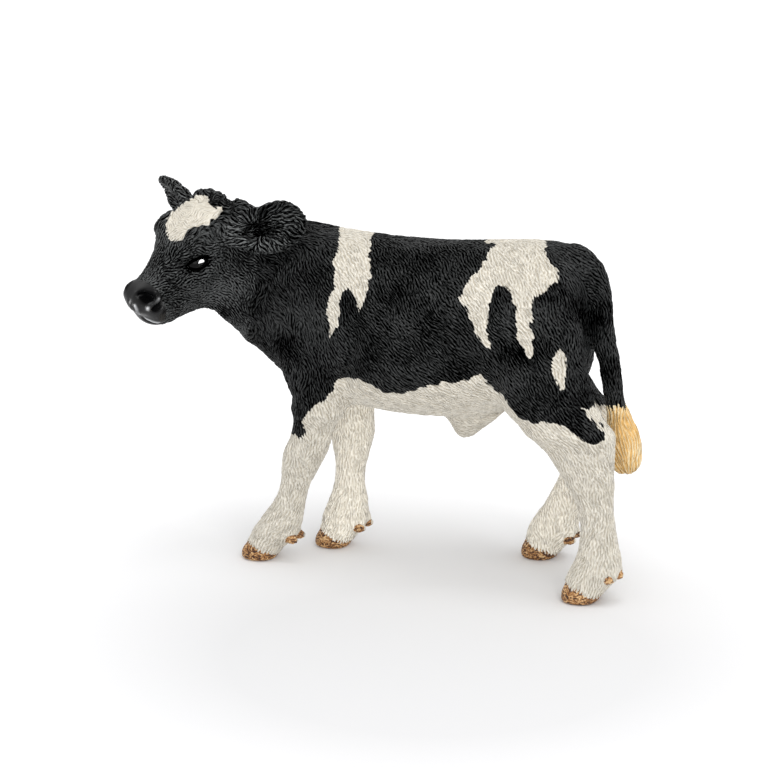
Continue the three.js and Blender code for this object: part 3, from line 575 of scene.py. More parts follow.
def carved_lines(points, owner):
    """How far the lines push the surface out: minus depth times exp(-(distance / width)
    squared), on the skull in its folded frame and on both flanks seen from the side."""
    push = np.zeros(len(points))
    skull = owner == SKULL
    local = folded(in_head(points[skull]))
    for line, width, depth in FACE_LINES:
        push[skull] -= depth * np.exp(-((line_distance(local, line) / width) ** 2))
    side = ~skull & (points[:, 2] > 26) & (np.abs(points[:, 1] - MIDDLE_Y) > 4)
    flank = points[side][:, [0, 2]]
    for line, width, depth in FLANK_LINES:
        push[side] -= depth * np.exp(-((line_distance(flank, line) / width) ** 2))
    return push


# ------------------------------------------------------------------------------ painted areas
# Patch outlines: place along the body, and distance from the spine round the barrel, which is
# negative on the calf's right.
SHOULDER_PATCH = [
    (-9.6, -3), (-8.7, -0.5), (-7.2, 3.4), (-6.8, 5.1), (-7.2, 6.4), (-7.0, 7.1), (-6.4, 8.3),
    (-6.0, 10.3), (-6.6, 12.2), (-7.0, 13.9), (-6.3, 16.6), (-6.3, 18.9), (-4.8, 15.9),
    (-4.8, 14.1), (-5.0, 11.9), (-4.5, 11.0), (-3.8, 10.6), (-2.6, 11.3), (-2.0, 13.1),
    (-1.8, 14.0), (-1.2, 13.1), (-0.7, 11.6), (-0.6, 9.4), (-0.8, 7.4), (-1.6, 5.5), (-1.8, 3.8),
    (-2.8, 1.1), (-3.6, -1.5), (-4.4, -4), (-3.9, -7), (-4.6, -10), (-5.3, -13.5), (-6.0, -16),
    (-6.9, -13), (-7.6, -10), (-8.4, -7.5), (-9.6, -5.5),
]
HIP_PATCH = [
    (16.4, -2.9), (23.3, -2.6), (25.2, 1.2), (25.6, 3.1), (26.9, 4.2), (28.3, 5.1), (28.6, 6.7),
    (27.9, 7.0), (27.3, 7.7), (26.5, 9.0), (25.5, 9.5), (25.5, 10.5), (25.6, 12.3),
    (25.4, 13.4), (25.9, 15.6), (26.0, 18.2), (25.5, 19.6), (24.7, 18.0), (23.4, 15.6),
    (23.3, 13.1), (22.6, 10.7), (21.7, 9.0), (20.5, 8.3), (19.4, 8.6), (19.0, 9.9), (18.8, 12.2),
    (18.8, 14.1), (18.9, 16.0), (19.5, 18.0), (18.8, 17.9), (17.0, 15.7), (16.0, 13.6),
    (15.3, 11.7), (14.1, 10.8), (14.5, 9.2), (15.2, 7.5), (16.4, 6.4), (16.8, 4.2), (16.8, 2.8),
    (17.2, 1.4), (16.6, -0.5),
]
RIGHT_HIP_PATCH = [
    (15.4, 0.5), (23.6, 0.5), (24.6, -4), (26.4, -6.5), (26.8, -9), (24.4, -11.5), (22.0, -11),
    (20.6, -14), (19.0, -18.5), (17.8, -14), (16.9, -10.5), (14.0, -9), (12.6, -6), (14.2, -3),
]
THIGH_PATCH = [
    (29.9, 16.6), (30.8, 18.1), (31.1, 20.5), (30.9, 23.9), (30.3, 24.1), (29.6, 22.2),
    (28.8, 20.2), (29.3, 18.5),
]
# White underside, from the side: place along the body and height, left side then right side.
LEFT_UNDERSIDE = [
    (-40, 21.6), (-12.8, 21.8), (-12.1, 21.4), (-11.4, 21.5), (-11.0, 22.3), (-10.8, 25.3),
    (-10.0, 26.2), (-9.2, 27.2), (-7.2, 28.5), (-6.1, 30.2), (-5.6, 32.1), (-4.9, 31.7),
    (-1.7, 32.5), (0.3, 31.7), (2.1, 30.7), (5.2, 30.9), (8.1, 32.1), (10.6, 33.2), (14.8, 34.0),
    (17.8, 34.9), (18.2, 34.3), (19.6, 32.5), (22.0, 31.4), (23.9, 29.0), (26.9, 28.7),
    (29.5, 29.0), (31.4, 28.5), (33.2, 27.2), (35.6, 25.8), (37.0, 26.4), (38.0, 27.0),
    (40, 20), (40, -5), (-40, -5),
]
HOCK_NOTCH = [
    (33.5, 31.2), (35.2, 30.8), (40.0, 30.4), (40.0, 25.0), (37.3, 26.0), (36.7, 27.5),
    (35.2, 29.2),
]
RIGHT_UNDERSIDE = [
    (-40, 22.5), (-14.5, 23.0), (-13.0, 24.5), (-11.5, 26.5), (-9, 28.5), (-6.5, 30.5),
    (-4, 31.5), (-1, 31.2), (3, 32.4), (7, 31.6), (11, 32.8), (14.5, 34.4), (16.5, 33.0),
    (18.5, 30.6), (21.5, 29.4), (24.5, 28.6), (27.5, 28.8), (30, 27.6), (33, 26.8), (36, 27),
    (40, 27), (40, -5), (-40, -5),
]
# Forehead blaze, forward and left of the poll.
BLAZE = [
    (-1.9, -0.6), (-1.1, 1.2), (-0.9, 2.6), (-1.8, 3.1), (-0.4, 3.8), (1.2, 3.8), (2.5, 3.9),
    (4.0, 3.5), (5.3, 2.7), (6.7, 2.3), (7.5, 0.4), (6.8, -1.3), (5.0, -2.5), (2.8, -2.8),
    (0.6, -2.2),
]


def outline_distance(x, y, outline):
    """Distance to a closed outline, positive inside it. Inside is where a ray crosses it an odd
    number of times."""
    inside = np.zeros(len(x), bool)
    for (ax, ay), (bx, by) in zip(outline, outline[1:] + outline[:1]):
        slope = (bx - ax) / (by - ay or 1e-9)
        inside ^= ((ay > y) != (by > y)) & (x < ax + (y - ay) * slope)
    nearest = line_distance(np.column_stack([x, y]), outline + outline[:1])
    return np.where(inside, nearest, -nearest)


def body_white(points):
    """Distance into the white of the body: the greatest of the patches' own distances."""
    x, z = points[:, 0], points[:, 2]
    angle = np.arctan2(-(points[:, 1] - MIDDLE_Y), z - AXIS_Z)
    round_body = angle * UNROLL_RADIUS
    white = np.full(len(points), -9.0)
    for patch in (SHOULDER_PATCH, HIP_PATCH, RIGHT_HIP_PATCH, THIGH_PATCH):
        white = np.maximum(white, outline_distance(x, round_body, patch))
    left = np.maximum(outline_distance(x, z, LEFT_UNDERSIDE), outline_distance(x, z, HOCK_NOTCH))
    right = outline_distance(x, z, RIGHT_UNDERSIDE)
    return np.maximum(white, np.where(points[:, 1] < MIDDLE_Y, left, right))


def white_distance(points, owner):
    """The same for the whole coat: a blaze on the head, nothing on the ears and the tail."""
    white = np.full(len(points), -9.0)
    skull = owner == SKULL
    local = in_head(points[skull])
    blaze = outline_distance(local[:, 0], local[:, 1], BLAZE)
    white[skull] = np.where(local[:, 2] > -3, blaze, -9)
    body = (owner < NAMES.index("left_ear")) & ~skull
    white[body] = body_white(points[body])
    return white


# ------------------------------------------------------------------------------ mesh making
def make_piece(name, points, quads, values=None, triangles=None, normals=None):
    """Mesh object from millimetre points, quads, triangles and values per point."""
    triangles = np.zeros((0, 3), int) if triangles is None else triangles
    mesh = bpy.data.meshes.new(name)
    mesh.vertices.add(len(points))
    mesh.vertices.foreach_set("co", (np.asarray(points) * MM).astype(np.float32).ravel())
    corners = np.concatenate([quads.ravel(), triangles.ravel()]).astype(np.int32)
    starts = np.concatenate([
        np.arange(len(quads)) * 4,
        4 * len(quads) + np.arange(len(triangles)) * 3,
    ]).astype(np.int32)
    mesh.loops.add(len(corners))
    mesh.loops.foreach_set("vertex_index", corners)
    mesh.polygons.add(len(starts))
    mesh.polygons.foreach_set("loop_start", starts)
    mesh.update(calc_edges=True)
    mesh.shade_smooth()
    for key, value in (values or {}).items():
        kind, part = ("FLOAT_VECTOR", "vector") if value.ndim == 2 else ("FLOAT", "value")
        layer = mesh.attributes.new(key, kind, "POINT")
        layer.data.foreach_set(part, value.astype(np.float32).ravel())
    if normals is not None:
        mesh.normals_split_custom_set_from_vertices(normals.astype(np.float32))
    piece = bpy.data.objects.new(name, mesh)
    bpy.context.scene.collection.objects.link(piece)
    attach(piece, "root")
    return piece


def seam_edges(quads, region):
    """Edges between two regions: their points, their own region and the one across."""
    count = int(quads.max()) + 1
    after = np.roll(quads, -1, axis=1)
    keys = (quads * count + after).ravel()
    order = np.argsort(keys)
    back = order[np.searchsorted(keys[order], (after * count + quads).ravel())]
    own = np.repeat(region, 4)
    seam = own[back] != own
    return quads.ravel()[seam], after.ravel()[seam], own[seam], own[back][seam]


# ------------------------------------------------------------------------------- materials
PAINT_IOR = 1.5
DASH = 0.4  # mm between the fine dashes in the paint


def linear(value):
    """sRGB hex colour as linear red, green, blue and alpha."""
    parts = [int(value[k:k + 2], 16) / 255 for k in (1, 3, 5)]
    return (*[c / 12.92 if c <= 0.04045 else ((c + 0.055) / 1.055) ** 2.4 for c in parts], 1.0)


def add_node(tree, kind, links=None, out=0, **settings):
    """Adds a shader node with its settings by name, and its inputs as values or sockets. Gives
    back the output asked for."""
    node = tree.nodes.new(kind)
    for key, value in settings.items():
        setattr(node, key, value)
    for key, value in (links or {}).items():
        if isinstance(value, bpy.types.NodeSocket):
            tree.links.new(value, node.inputs[key])
        else:
            node.inputs[key].default_value = value
    return node.outputs[out] if node.outputs else None


def new_material(name):
    """Node material with nothing in it, and its tree."""
    material = bpy.data.materials.new(name)
    material.use_nodes = True
    material.node_tree.nodes.clear()
    return material, material.node_tree


def finish_material(tree, links):
    """Puts a Principled shader with these inputs on the material's output."""
    shader = add_node(tree, "ShaderNodeBsdfPrincipled", {"IOR": PAINT_IOR, **links})
    add_node(tree, "ShaderNodeOutputMaterial", {"Surface": shader})


def painted_hair(name, tones, rough, grain):
    """Matt paint on PVC with carved strokes: a darker groove tone and a lighter ridge tone, which
    are painted shade in the grooves and a painted highlight on the ridges. Fine dashes along the
    hair break them up and stand out by a grain, and the ridges get a painted grey highlight. A
    second, calmer pair of tones lies where the white attribute is above nothing."""
    material, tree = new_material(name)
    place = add_node(tree, "ShaderNodeTexCoord", out="Object")
    across = add_node(tree, "ShaderNodeAttribute", out="Vector", attribute_name="across")
    relief, painted_grey_highlight, white = [
        add_node(tree, "ShaderNodeAttribute", out="Fac", attribute_name=key)
        for key in ("relief", "painted_grey_highlight", "white")
    ]
    streaks = add_node(
        tree, "ShaderNodeTexGabor",
        {"Vector": place, "Scale": 1 / MM, "Frequency": 1 / DASH, "Anisotropy": 1.0,
         "Orientation": across},
        out="Value", gabor_type="3D",
    )
    # For each pair of tones: how much the strokes and the dashes count, and where it is dark.
    toned, steps = [], ((1.15, grain, -0.33 - 0.5 * grain), (1.1, grain / 2, -0.15 - 0.25 * grain))
    for (dark, light), (gain, dashes, start) in zip(tones, steps):
        carved = add_node(tree, "ShaderNodeMath", {0: relief, 1: gain, 2: start},
                          operation="MULTIPLY_ADD")
        tone = add_node(tree, "ShaderNodeMath", {0: streaks, 1: dashes, 2: carved},
                        operation="MULTIPLY_ADD", use_clamp=True)
        colour = add_node(tree, "ShaderNodeMix", {0: tone, 6: linear(dark), 7: linear(light)},
                          out=2, data_type="RGBA")
        toned.append((tone, colour))
    tone, colour = toned[0]
    # Painted highlight: grey on the ridges, as strong as the attribute.
    ridges = add_node(tree, "ShaderNodeMath", {0: tone, 1: 3.0}, operation="POWER")
    grey = add_node(tree, "ShaderNodeMath", {0: ridges, 1: painted_grey_highlight},
                    operation="MULTIPLY", use_clamp=True)
    colour = add_node(tree, "ShaderNodeMix", {0: grey, 6: colour, 7: linear("#7d8080")},
                      out=2, data_type="RGBA")
    if len(toned) > 1:
        mask = add_node(tree, "ShaderNodeMath", {0: white, 1: 8.0, 2: 0.5},
                        operation="MULTIPLY_ADD", use_clamp=True)
        colour = add_node(tree, "ShaderNodeMix", {0: mask, 6: colour, 7: toned[1][1]},
                          out=2, data_type="RGBA")
    shine = add_node(tree, "ShaderNodeMath", {0: tone, 1: 0.6}, operation="MULTIPLY")
    bump = add_node(tree, "ShaderNodeBump",
                    {"Height": streaks, "Distance": 0.5 * MM, "Strength": 0.8})
    finish_material(tree, {"Base Color": colour, "Roughness": rough,
                           "Specular IOR Level": shine, "Normal": bump})
    return material


def painted_horn():
    """Hoof: golden brown paint on moulded PVC with a dark brown wash in curly level dashes, which
    gives the look of old horn. The dashes are about 0.4 mm apart, two to a wave of the noise, and
    the horn between them is dry brushed paler."""
    material, tree = new_material("painted pvc hoof")
    place = add_node(tree, "ShaderNodeTexCoord", out="Object")
    drawn = add_node(tree, "ShaderNodeMapping", {"Vector": place, "Scale": (1, 1, 1.7)})
    dashes = add_node(
        tree, "ShaderNodeTexNoise",
        {"Vector": drawn, "Scale": 1.7 / MM, "Detail": 2.0, "Distortion": 1.2}, out="Fac",
    )
    dry, wash = [
        add_node(tree, "ShaderNodeMath", {0: dashes, 1: gain, 2: start},
                 operation="MULTIPLY_ADD", use_clamp=True)
        for gain, start in ((7.0, -3.6), (-11.0, 5.5))
    ]
    horn = add_node(tree, "ShaderNodeMix", {0: dry, 6: linear("#a8733c"), 7: linear("#e9c592")},
                    out=2, data_type="RGBA")
    colour = add_node(tree, "ShaderNodeMix", {0: wash, 6: horn, 7: linear("#3b1d0c")},
                      out=2, data_type="RGBA")
    bump = add_node(tree, "ShaderNodeBump",
                    {"Height": dashes, "Distance": 0.2 * MM, "Strength": 0.8})
    finish_material(tree, {"Base Color": colour, "Roughness": 0.5, "Normal": bump})
    return material


def painted_muzzle():
    """Muzzle: satin black paint on smooth PVC, which looks wet. A faint orange peel softens its
    highlights, the upper lip's edge, a fold of the nostril and a bead at the lip's corner get a
    pale painted highlight, and the nostrils and the corner of the mouth lose their shine as
    painted shade."""
    material, tree = new_material("satin black pvc muzzle")
    place = add_node(tree, "ShaderNodeTexCoord", out="Object")
    painted_hollow_shade, painted_highlight = [
        add_node(tree, "ShaderNodeAttribute", out="Fac", attribute_name=key)
        for key in ("painted_hollow_shade", "painted_highlight")
    ]
    # Painted shade: the shine is taken off in the nostrils and the corner of the mouth.
    shine = add_node(tree, "ShaderNodeMath", {0: painted_hollow_shade, 1: -0.38, 2: 0.4},
                     operation="MULTIPLY_ADD")
    # Painted highlight: pale grey along the lip's edge, the nostril's fold and on the bead.
    colour = add_node(tree, "ShaderNodeMix",
                      {0: painted_highlight, 6: linear("#09090a"), 7: linear("#d8dadc")},
                      out=2, data_type="RGBA")
    peel = add_node(tree, "ShaderNodeTexNoise", {"Vector": place, "Scale": 0.9 / MM}, out="Fac")
    bump = add_node(tree, "ShaderNodeBump",
                    {"Height": peel, "Distance": 0.02 * MM, "Strength": 0.4})
    finish_material(tree, {"Base Color": colour, "Roughness": 0.24,
                           "Specular IOR Level": shine, "Normal": bump})
    return material


def eye_enamel():
    """Eye: gloss enamel over black paint, which looks wet and holds a sharp catch light."""
    material, tree = new_material("gloss enamel eye")
    finish_material(tree, {"Base Color": linear("#000000"), "Roughness": 0.06,
                           "Specular IOR Level": 0.15})
    return material


# ------------------------------------------------------------------------------------ pieces
def muzzle_mask(points, owner):
    """1 on the bare pad of the nose and the lips, 0 on the hair. Its edge lies 13.9 mm ahead of
    the poll, and further ahead by a parabola above and below the nostrils."""
    local = in_head(points)
    edge = 13.9 + 0.05 * (local[:, 2] + 4.5) ** 2 + 0.1 * np.abs(local[:, 1])
    return ramp(local[:, 0] - edge, -0.3, 0.5) * (owner == SKULL)


def curl_mask(points, owner):
    """1 on the crown and the brows, where the hair is carved in curls, a half on the ears and
    below the neck, and 0.3 on the rest of the head."""
    local = in_head(points)
    crown = ramp(local[:, 2], -4.5, -1.0) * ramp(-local[:, 0], -8.0, -5.0) * (owner == SKULL)
    throat = 0.5 * ramp(-points[:, 0], 8, 15) * (owner == TORSO)
    ears = 0.5 * (owner > NAMES.index("right_hind_leg")) * (owner != TAIL)
    return np.maximum(crown, throat + ears + 0.3 * (owner == SKULL))


def relief_of(points, normals, flow, owner, curls):
    """Height of the strokes, and how far they and the coarser locks push the surface out: each
    one's height less its mean, times its depth. The ears are carved in strokes that fan out, the
    tuft in long strands and the face in short flecks."""
    fine = strokes(points, normals, flow, *FINE)
    bold = strokes(points, normals, flow, *BOLD)
    locks = strokes(points, normals, flow, *LOCKS)
    height = fine * (1 - 0.6 * curls) + bold * 0.6 * curls
    push = (height - 0.7) * (0.16 + 0.2 * curls) + (locks - 0.6) * (LOCK_DEPTH + 0.2 * curls)
    near_ear, far_ear = (owner == NAMES.index(node) for node in EARS)
    strands = (owner == TAIL) & (points[:, 2] < 30)
    face = (owner == SKULL) & (curls < 0.7)
    for ours, (pitch, length, depth) in (
        (near_ear, NEAR_EAR_HAIR), (far_ear, FAR_EAR_HAIR), (strands, STRANDS), (face, FACE_HAIR),
    ):
        height[ours] = strokes(points[ours], normals[ours], flow[ours], pitch, length)
        push[ours] = (height[ours] - 0.7) * depth + (locks[ours] - 0.6) * LOCK_DEPTH
    return height, push


HOOF_TOP, HOOF_HEEL, HOOF_SLOPE = 3.4, 0.9, 0.42  # coronet's height at toe and heel, its fall
STRAW_TOP = 29.0  # height at which the tail's paint turns yellow


def horn_parts(points, owner, relief):
    """Distance into the hoof, below a line that the hair makes ragged, and into each dewclaw."""
    top = np.full(len(points), -9.0)
    for leg, (toe, _) in enumerate(CLEFTS, NAMES.index("left_foreleg")):
        ours = owner == leg
        fall = HOOF_SLOPE * (points[ours, 0] - toe)
        top[ours] = np.clip(HOOF_TOP - fall, HOOF_HEEL, HOOF_TOP)
    hoof = top + 0.2 * slow_noise(points, 1.8) - 0.5 * (relief - 0.6) - points[:, 2]
    claws = [CLAW_HORN - np.linalg.norm(points - claw, axis=1) for claw in DEWCLAWS]
    return np.stack([hoof, *claws])


# Numbers of the regions that a solid's coat is parted into, besides the solid's own number.
TORSO_BANDS, MUZZLE, TUFT, HOOVES, CLAWS = 10, 14, 15, 20, 30
TORSO_CUTS = [-7.0, 7.0, 21.0]  # the torso is parted in four, so that no mesh is too heavy
BAND_NAMES = ("chest", "ribs", "flanks", "rump")


def regions_of(quads, points, owner, bare, horn, straw):
    """Number of the piece that each quad belongs to, and each piece's node, name, paint and
    slot."""
    region = owner[quads].min(axis=1)
    labels = {}
    for k, node in enumerate(NAMES):
        slot = "coat_white" if node.endswith("leg") else "coat_black"
        labels[k] = (node, f"{node}_coat", "coat", slot)
    torso = region == TORSO
    middle_x = points[quads, 0].mean(axis=1)
    region[torso] = TORSO_BANDS + np.digitize(middle_x[torso], TORSO_CUTS)
    for k, part in enumerate(BAND_NAMES, TORSO_BANDS):
        labels[k] = ("torso", f"torso_{part}_coat", "coat", "coat_black")
    region[(region == SKULL) & (bare[quads].mean(axis=1) > 0.5)] = MUZZLE
    labels[MUZZLE] = ("head", "muzzle", "muzzle", "muzzle_black")
    region[(region == TAIL) & (straw[quads].mean(axis=1) > 0)] = TUFT
    labels[TUFT] = ("tail", "tail_tuft", "straw", "tuft_yellow")
    depth = horn[:, quads].mean(axis=2)
    first_leg = NAMES.index("left_foreleg")
    for k, leg in enumerate(NAMES[first_leg:first_leg + len(CLEFTS)]):
        ours = region == first_leg + k
        region[ours & (depth[0] > 0)] = HOOVES + k
        labels[HOOVES + k] = (leg, f"{leg}_hoof", "horn", "hoof_brown")
        for side in (0, 1):
            claw = 2 * k + side
            region[ours & (depth[1 + claw] > 0)] = CLAWS + claw
            labels[CLAWS + claw] = (leg, f"{leg}_dewclaw_{side + 1}", "horn", "hoof_brown")
    return region, labels


def paint_marks(points, owner, relief, white):
    """Relief as the paint shows it, the painted shade that takes the shine off the nostrils and
    the mouth, and the painted highlights on the black: grey on the ridges, pale on edges of the
    muzzle. The paint is even on the blaze, paler on the face, uneven in the black by a slow
    wave, and darkened as painted shade in the ears' canals and round the eyes."""
    skull = owner == SKULL
    blaze = ramp(white, 0, 1.0) * skull
    shown = (relief + 0.1 * skull) * (1 - 0.6 * blaze) + 0.25 * blaze
    shown *= 1 + 0.35 * slow_noise(points, 6.0) * ramp(-white, -0.2, 0.2)
    # Painted grey highlight on the ridges of the head.
    painted_grey_highlight = 0.3 * skull
    for node, (middle, along, _) in EARS.items():
        away = points - middle
        reach = np.sum(away * away, axis=1) - 0.75 * (away @ np.array(along)) ** 2
        # Painted shade darkens each ear's canal, and a painted grey highlight lies on the ridges
        # round it.
        shown *= 1 - np.exp(-reach / 2.0)
        painted_grey_highlight = painted_grey_highlight + 1.5 * np.exp(-reach / 14) * (owner == NAMES.index(node))
    local = in_head(points)
    eye = (local * (1, 0, 1) + np.abs(local) * (0, 1, 0) - EYE_AT) @ EYE_AXES.T
    # Painted shade round the eye, in its socket.
    shown *= 1 - 0.8 * np.exp(-((eye[:, 0] / 2.3) ** 2 + (eye[:, 2] / 1.15) ** 2) ** 2) * skull
    painted_hollow_shade = np.zeros(len(points))
    for place, radii in OPENINGS:
        inside = np.linalg.norm((folded(local) - place) / np.array(radii), axis=1)
        painted_hollow_shade = np.maximum(painted_hollow_shade, ramp(-inside, -1.15, -0.8))
    painted_highlight = np.zeros(len(points))
    for line, width, amount in PAINTED_HIGHLIGHT_LINES:
        near = amount * np.exp(-((line_distance(local, line) / width) ** 2))
        painted_highlight = np.maximum(painted_highlight, near)
    return shown, painted_hollow_shade, painted_grey_highlight, painted_highlight


def blended_skin():
    """Skin over all the solids, brought onto the outline: its points, its quads turned to face
    outwards, its normals, and the number of the solid that each point is nearest to."""
    field, own = coat_field()
    points, quads = refined(*level_surface(field))
    normals = vertex_normals(points, quads)
    if (distance_at(field, points + normals * VOXEL) < distance_at(field, points)).mean() > 0.5:
        quads = quads[:, ::-1]
    owner = np.stack([distance_at(own[node], points) for node in NAMES], axis=1).argmin(axis=1)
    points = nudged(points, owner)
    return points, quads, vertex_normals(points, quads), owner


def carved_skin(points, quads, normals, owner):
    """The skin with its strokes and lines pushed in and out along the normals, its new normals,
    the regions that it is parted into, and the values that its paints read. Strokes are left out
    on the bare muzzle, faint on the blaze and the horn, and fade towards the soles. The tuft's
    tip is drawn out along the hair."""
    bare, curls = muzzle_mask(points, owner), curl_mask(points, owner)
    flow = hair_flow(points, normals, owner, curls)
    relief, push = relief_of(points, normals, flow, owner, curls)
    white = white_distance(points, owner)
    blaze = ramp(white, 0, 1.0) * (owner == SKULL)
    push *= (1 - bare) * (1 - 0.85 * blaze)
    horn = horn_parts(points, owner, relief)
    hard = ramp(horn.max(axis=0), -0.1, 0.1)
    push = push * (1 - 0.7 * hard) - 0.12 * hard
    ragged = 0.8 * (relief - 0.5) + 0.4 * slow_noise(points * (1, 1, 0.2), 1.4)
    straw = np.where(owner == TAIL, STRAW_TOP - points[:, 2] + ragged, -9)
    tuft = ramp(straw, -0.3, 0.6)
    push *= np.clip(points[:, 2] / 0.8, 0, 1)
    push += carved_lines(points, owner)
    tip = tuft * ramp(-points[:, 2], -21.5, -19.0) * (relief - 0.6)
    points = points + normals * push[:, None] + flow * tip[:, None]
    points[:, 2] = np.maximum(points[:, 2], 0)
    normals = vertex_normals(points, quads)
    shown, painted_hollow_shade, painted_grey_highlight, painted_highlight = paint_marks(points, owner, relief, white)
    edge = 0.25 * (relief - 0.6) + 0.16 * slow_noise(points, 1.1)
    values = {"across": np.cross(normals, flow), "white": white + edge, "relief": shown,
              "painted_hollow_shade": painted_hollow_shade, "painted_grey_highlight": painted_grey_highlight, "painted_highlight": painted_highlight}
    return points, normals, regions_of(quads, points, owner, bare, horn, straw), values


def build_skin(paints):
    """The coat as one piece for each region. Each seam is closed by a fan of triangles from its
    edges to their middle, so that every piece is a closed solid."""
    points, quads, normals, owner = blended_skin()
    points, normals, (region, labels), values = carved_skin(points, quads, normals, owner)
    start, end, own_side, far_side = seam_edges(quads, region)
    for label in np.unique(region):
        node, name, paint, slot = labels[label]
        mine = quads[region == label]
        used = np.unique(mine)
        renumber = np.zeros(len(points), int)
        renumber[used] = np.arange(len(used))
        triangles, hubs = [], []
        for other in np.unique(far_side[own_side == label]):
            rim = (own_side == label) & (far_side == other)
            hub = np.full(rim.sum(), len(used) + len(hubs))
            triangles.append(np.column_stack([renumber[end[rim]], renumber[start[rim]], hub]))
            hubs.append(points[start[rim]].mean(axis=0))
        source = np.concatenate([used, np.repeat(used[:1], len(hubs))])
        piece = make_piece(
            name, np.vstack([points[used], *hubs]), renumber[mine],
            {key: value[source] for key, value in values.items()},
            np.vstack(triangles), normals[source],
        )
        piece.data.materials.append(paints[paint])
        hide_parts(node)


def ring_quads(rows, sides, closed=False):
    """Quads between rows of points that close round each ring, and from the last row to the
    first if that is closed too."""
    ring = np.arange(sides)
    row = np.arange(rows if closed else rows - 1)[:, None]
    a = row * sides + ring
    b = row * sides + (ring + 1) % sides
    step = ((row + 1) % rows - row) * sides
    return np.stack([a, b, b + step, a + step], axis=-1).reshape(-1, 4)


def end_fans(rows, sides):
    """Triangles from the first and last ring to the two points added after the grid."""
    ring = np.arange(sides)
    following = (ring + 1) % sides
    last = (rows - 1) * sides
    first = np.column_stack([following, ring, np.full(sides, rows * sides)])
    final = np.column_stack([last + ring, last + following, np.full(sides, rows * sides + 1)])
    return np.vstack([first, final])


def faced_out(points, quads, core):
    """True where the quads of a closed surface face away from its core."""
    return np.sum(vertex_normals(points, quads) * (points - core)) > 0


def on_eye(local, hand):
    """Points given along the lids, outwards and up from the eye's middle, on one side."""
    return on_head((EYE_AT + local @ EYE_AXES) * (1, hand, 1))


def build_eye(hand, name, paint):
    """Eyeball: an ellipsoid of latitude and longitude rings."""
    rows, sides = 32, 48
    latitude = np.linspace(0.02, np.pi - 0.02, rows)[:, None]
    longitude = np.linspace(0, 2 * np.pi, sides, endpoint=False)
    ball = np.stack([
        np.sin(latitude) * np.cos(longitude),
        np.cos(latitude) * np.ones_like(longitude),
        np.sin(latitude) * np.sin(longitude),
    ], axis=-1).reshape(-1, 3)
    ball = np.vstack([ball, [[0, 1, 0], [0, -1, 0]]])
    quads, fans = ring_quads(rows, sides), end_fans(rows, sides)
    points = on_eye(ball * EYE_RADII, hand)
    if not faced_out(points, quads, points.mean(axis=0)):
        quads, fans = quads[:, ::-1], fans[:, ::-1]
    piece = make_piece(name, points, quads, None, fans)
    piece.data.materials.append(paint)


def build_lids(hand, name, paint):
    """Lids: a ring of round section that follows an almond over the eyeball, thicker above. The
    almond's height is 0.95 |sin t| to the power 1.3 and its half length 2.05 cos t."""
    steps, sides = 96, 16
    t = np.linspace(0, 2 * np.pi, steps, endpoint=False)
    along = 2.05 * np.cos(t)
    rise = np.sign(np.sin(t)) * 0.95 * np.abs(np.sin(t)) ** 1.3
    out = 1.45 * np.sqrt(np.clip(1 - (along / 2.7) ** 2 - (rise / 2.0) ** 2, 0.05, 1)) - 0.25
    middle = np.stack([along, out, rise], axis=1)
    run = unit(np.roll(middle, -1, 0) - np.roll(middle, 1, 0))
    outward = unit(middle - np.sum(middle * run, axis=1, keepdims=True) * run)
    third = np.cross(run, outward)
    thick = (0.16 + 0.08 * np.maximum(np.sin(t), 0))[:, None, None]
    angle = np.linspace(0, 2 * np.pi, sides, endpoint=False)[None, :, None]
    section = np.cos(angle) * outward[:, None] + np.sin(angle) * third[:, None]
    points = on_eye((middle[:, None] + thick * section).reshape(-1, 3), hand)
    quads = ring_quads(steps, sides, closed=True)
    core = on_eye(np.repeat(middle, sides, axis=0), hand)
    if not faced_out(points, quads, core):
        quads = quads[:, ::-1]
    # Painted highlight: the upper lid is lighter, passed to the coat's paint as its relief.
    painted_highlight = np.repeat(0.8 * np.maximum(np.sin(t), 0), sides)
    piece = make_piece(name, points, quads, {"relief": painted_highlight, "white": 0 * painted_highlight - 1})
    piece.data.materials.append(paint)


# Each pair of tones: the grooves' painted shade, then the ridges' painted highlight.
paints = {
    "coat": painted_hair("matt painted pvc coat",
                         [("#000000", "#1b1e1e"), ("#cbc3b3", "#efeade")], 0.4, 3.8),
    "straw": painted_hair("matt painted pvc tuft", [("#e9bb74", "#fdebc2")], 0.55, 1.1),
    "horn": painted_horn(),
    "muzzle": painted_muzzle(),
    "eye": eye_enamel(),
}
build_skin(paints)
for hand, side in ((1, "left"), (-1, "right")):
    build_eye(hand, f"{side}_eye", paints["eye"])
    build_lids(hand, f"{side}_lids", paints["coat"])

# ------------------------------------------------------------------------------------ studio
AIM = np.array([-1.21, 2.64, 28.7]) * MM
FLOOR_HALF = 3.0  # metres
# Floor's glow: where it is least, its gain per metre from there, where it starts, and its most.
SHADOW_AT = (0.02, -0.035, 0)
GLOW_GAIN, GLOW_START, GLOW_MOST = 5.5, 0.17, 0.4
WORLD_LIGHT = 0.78  # the world's white as light and in reflections
# Camera at the photograph's view: degrees, metres, and a focal length in pixels of its width.
AZIMUTH, ELEVATION, DISTANCE = 19, 17, 0.6
FOCAL_PIXELS, PHOTO_PIXELS, SENSOR = 3870, 768, 36


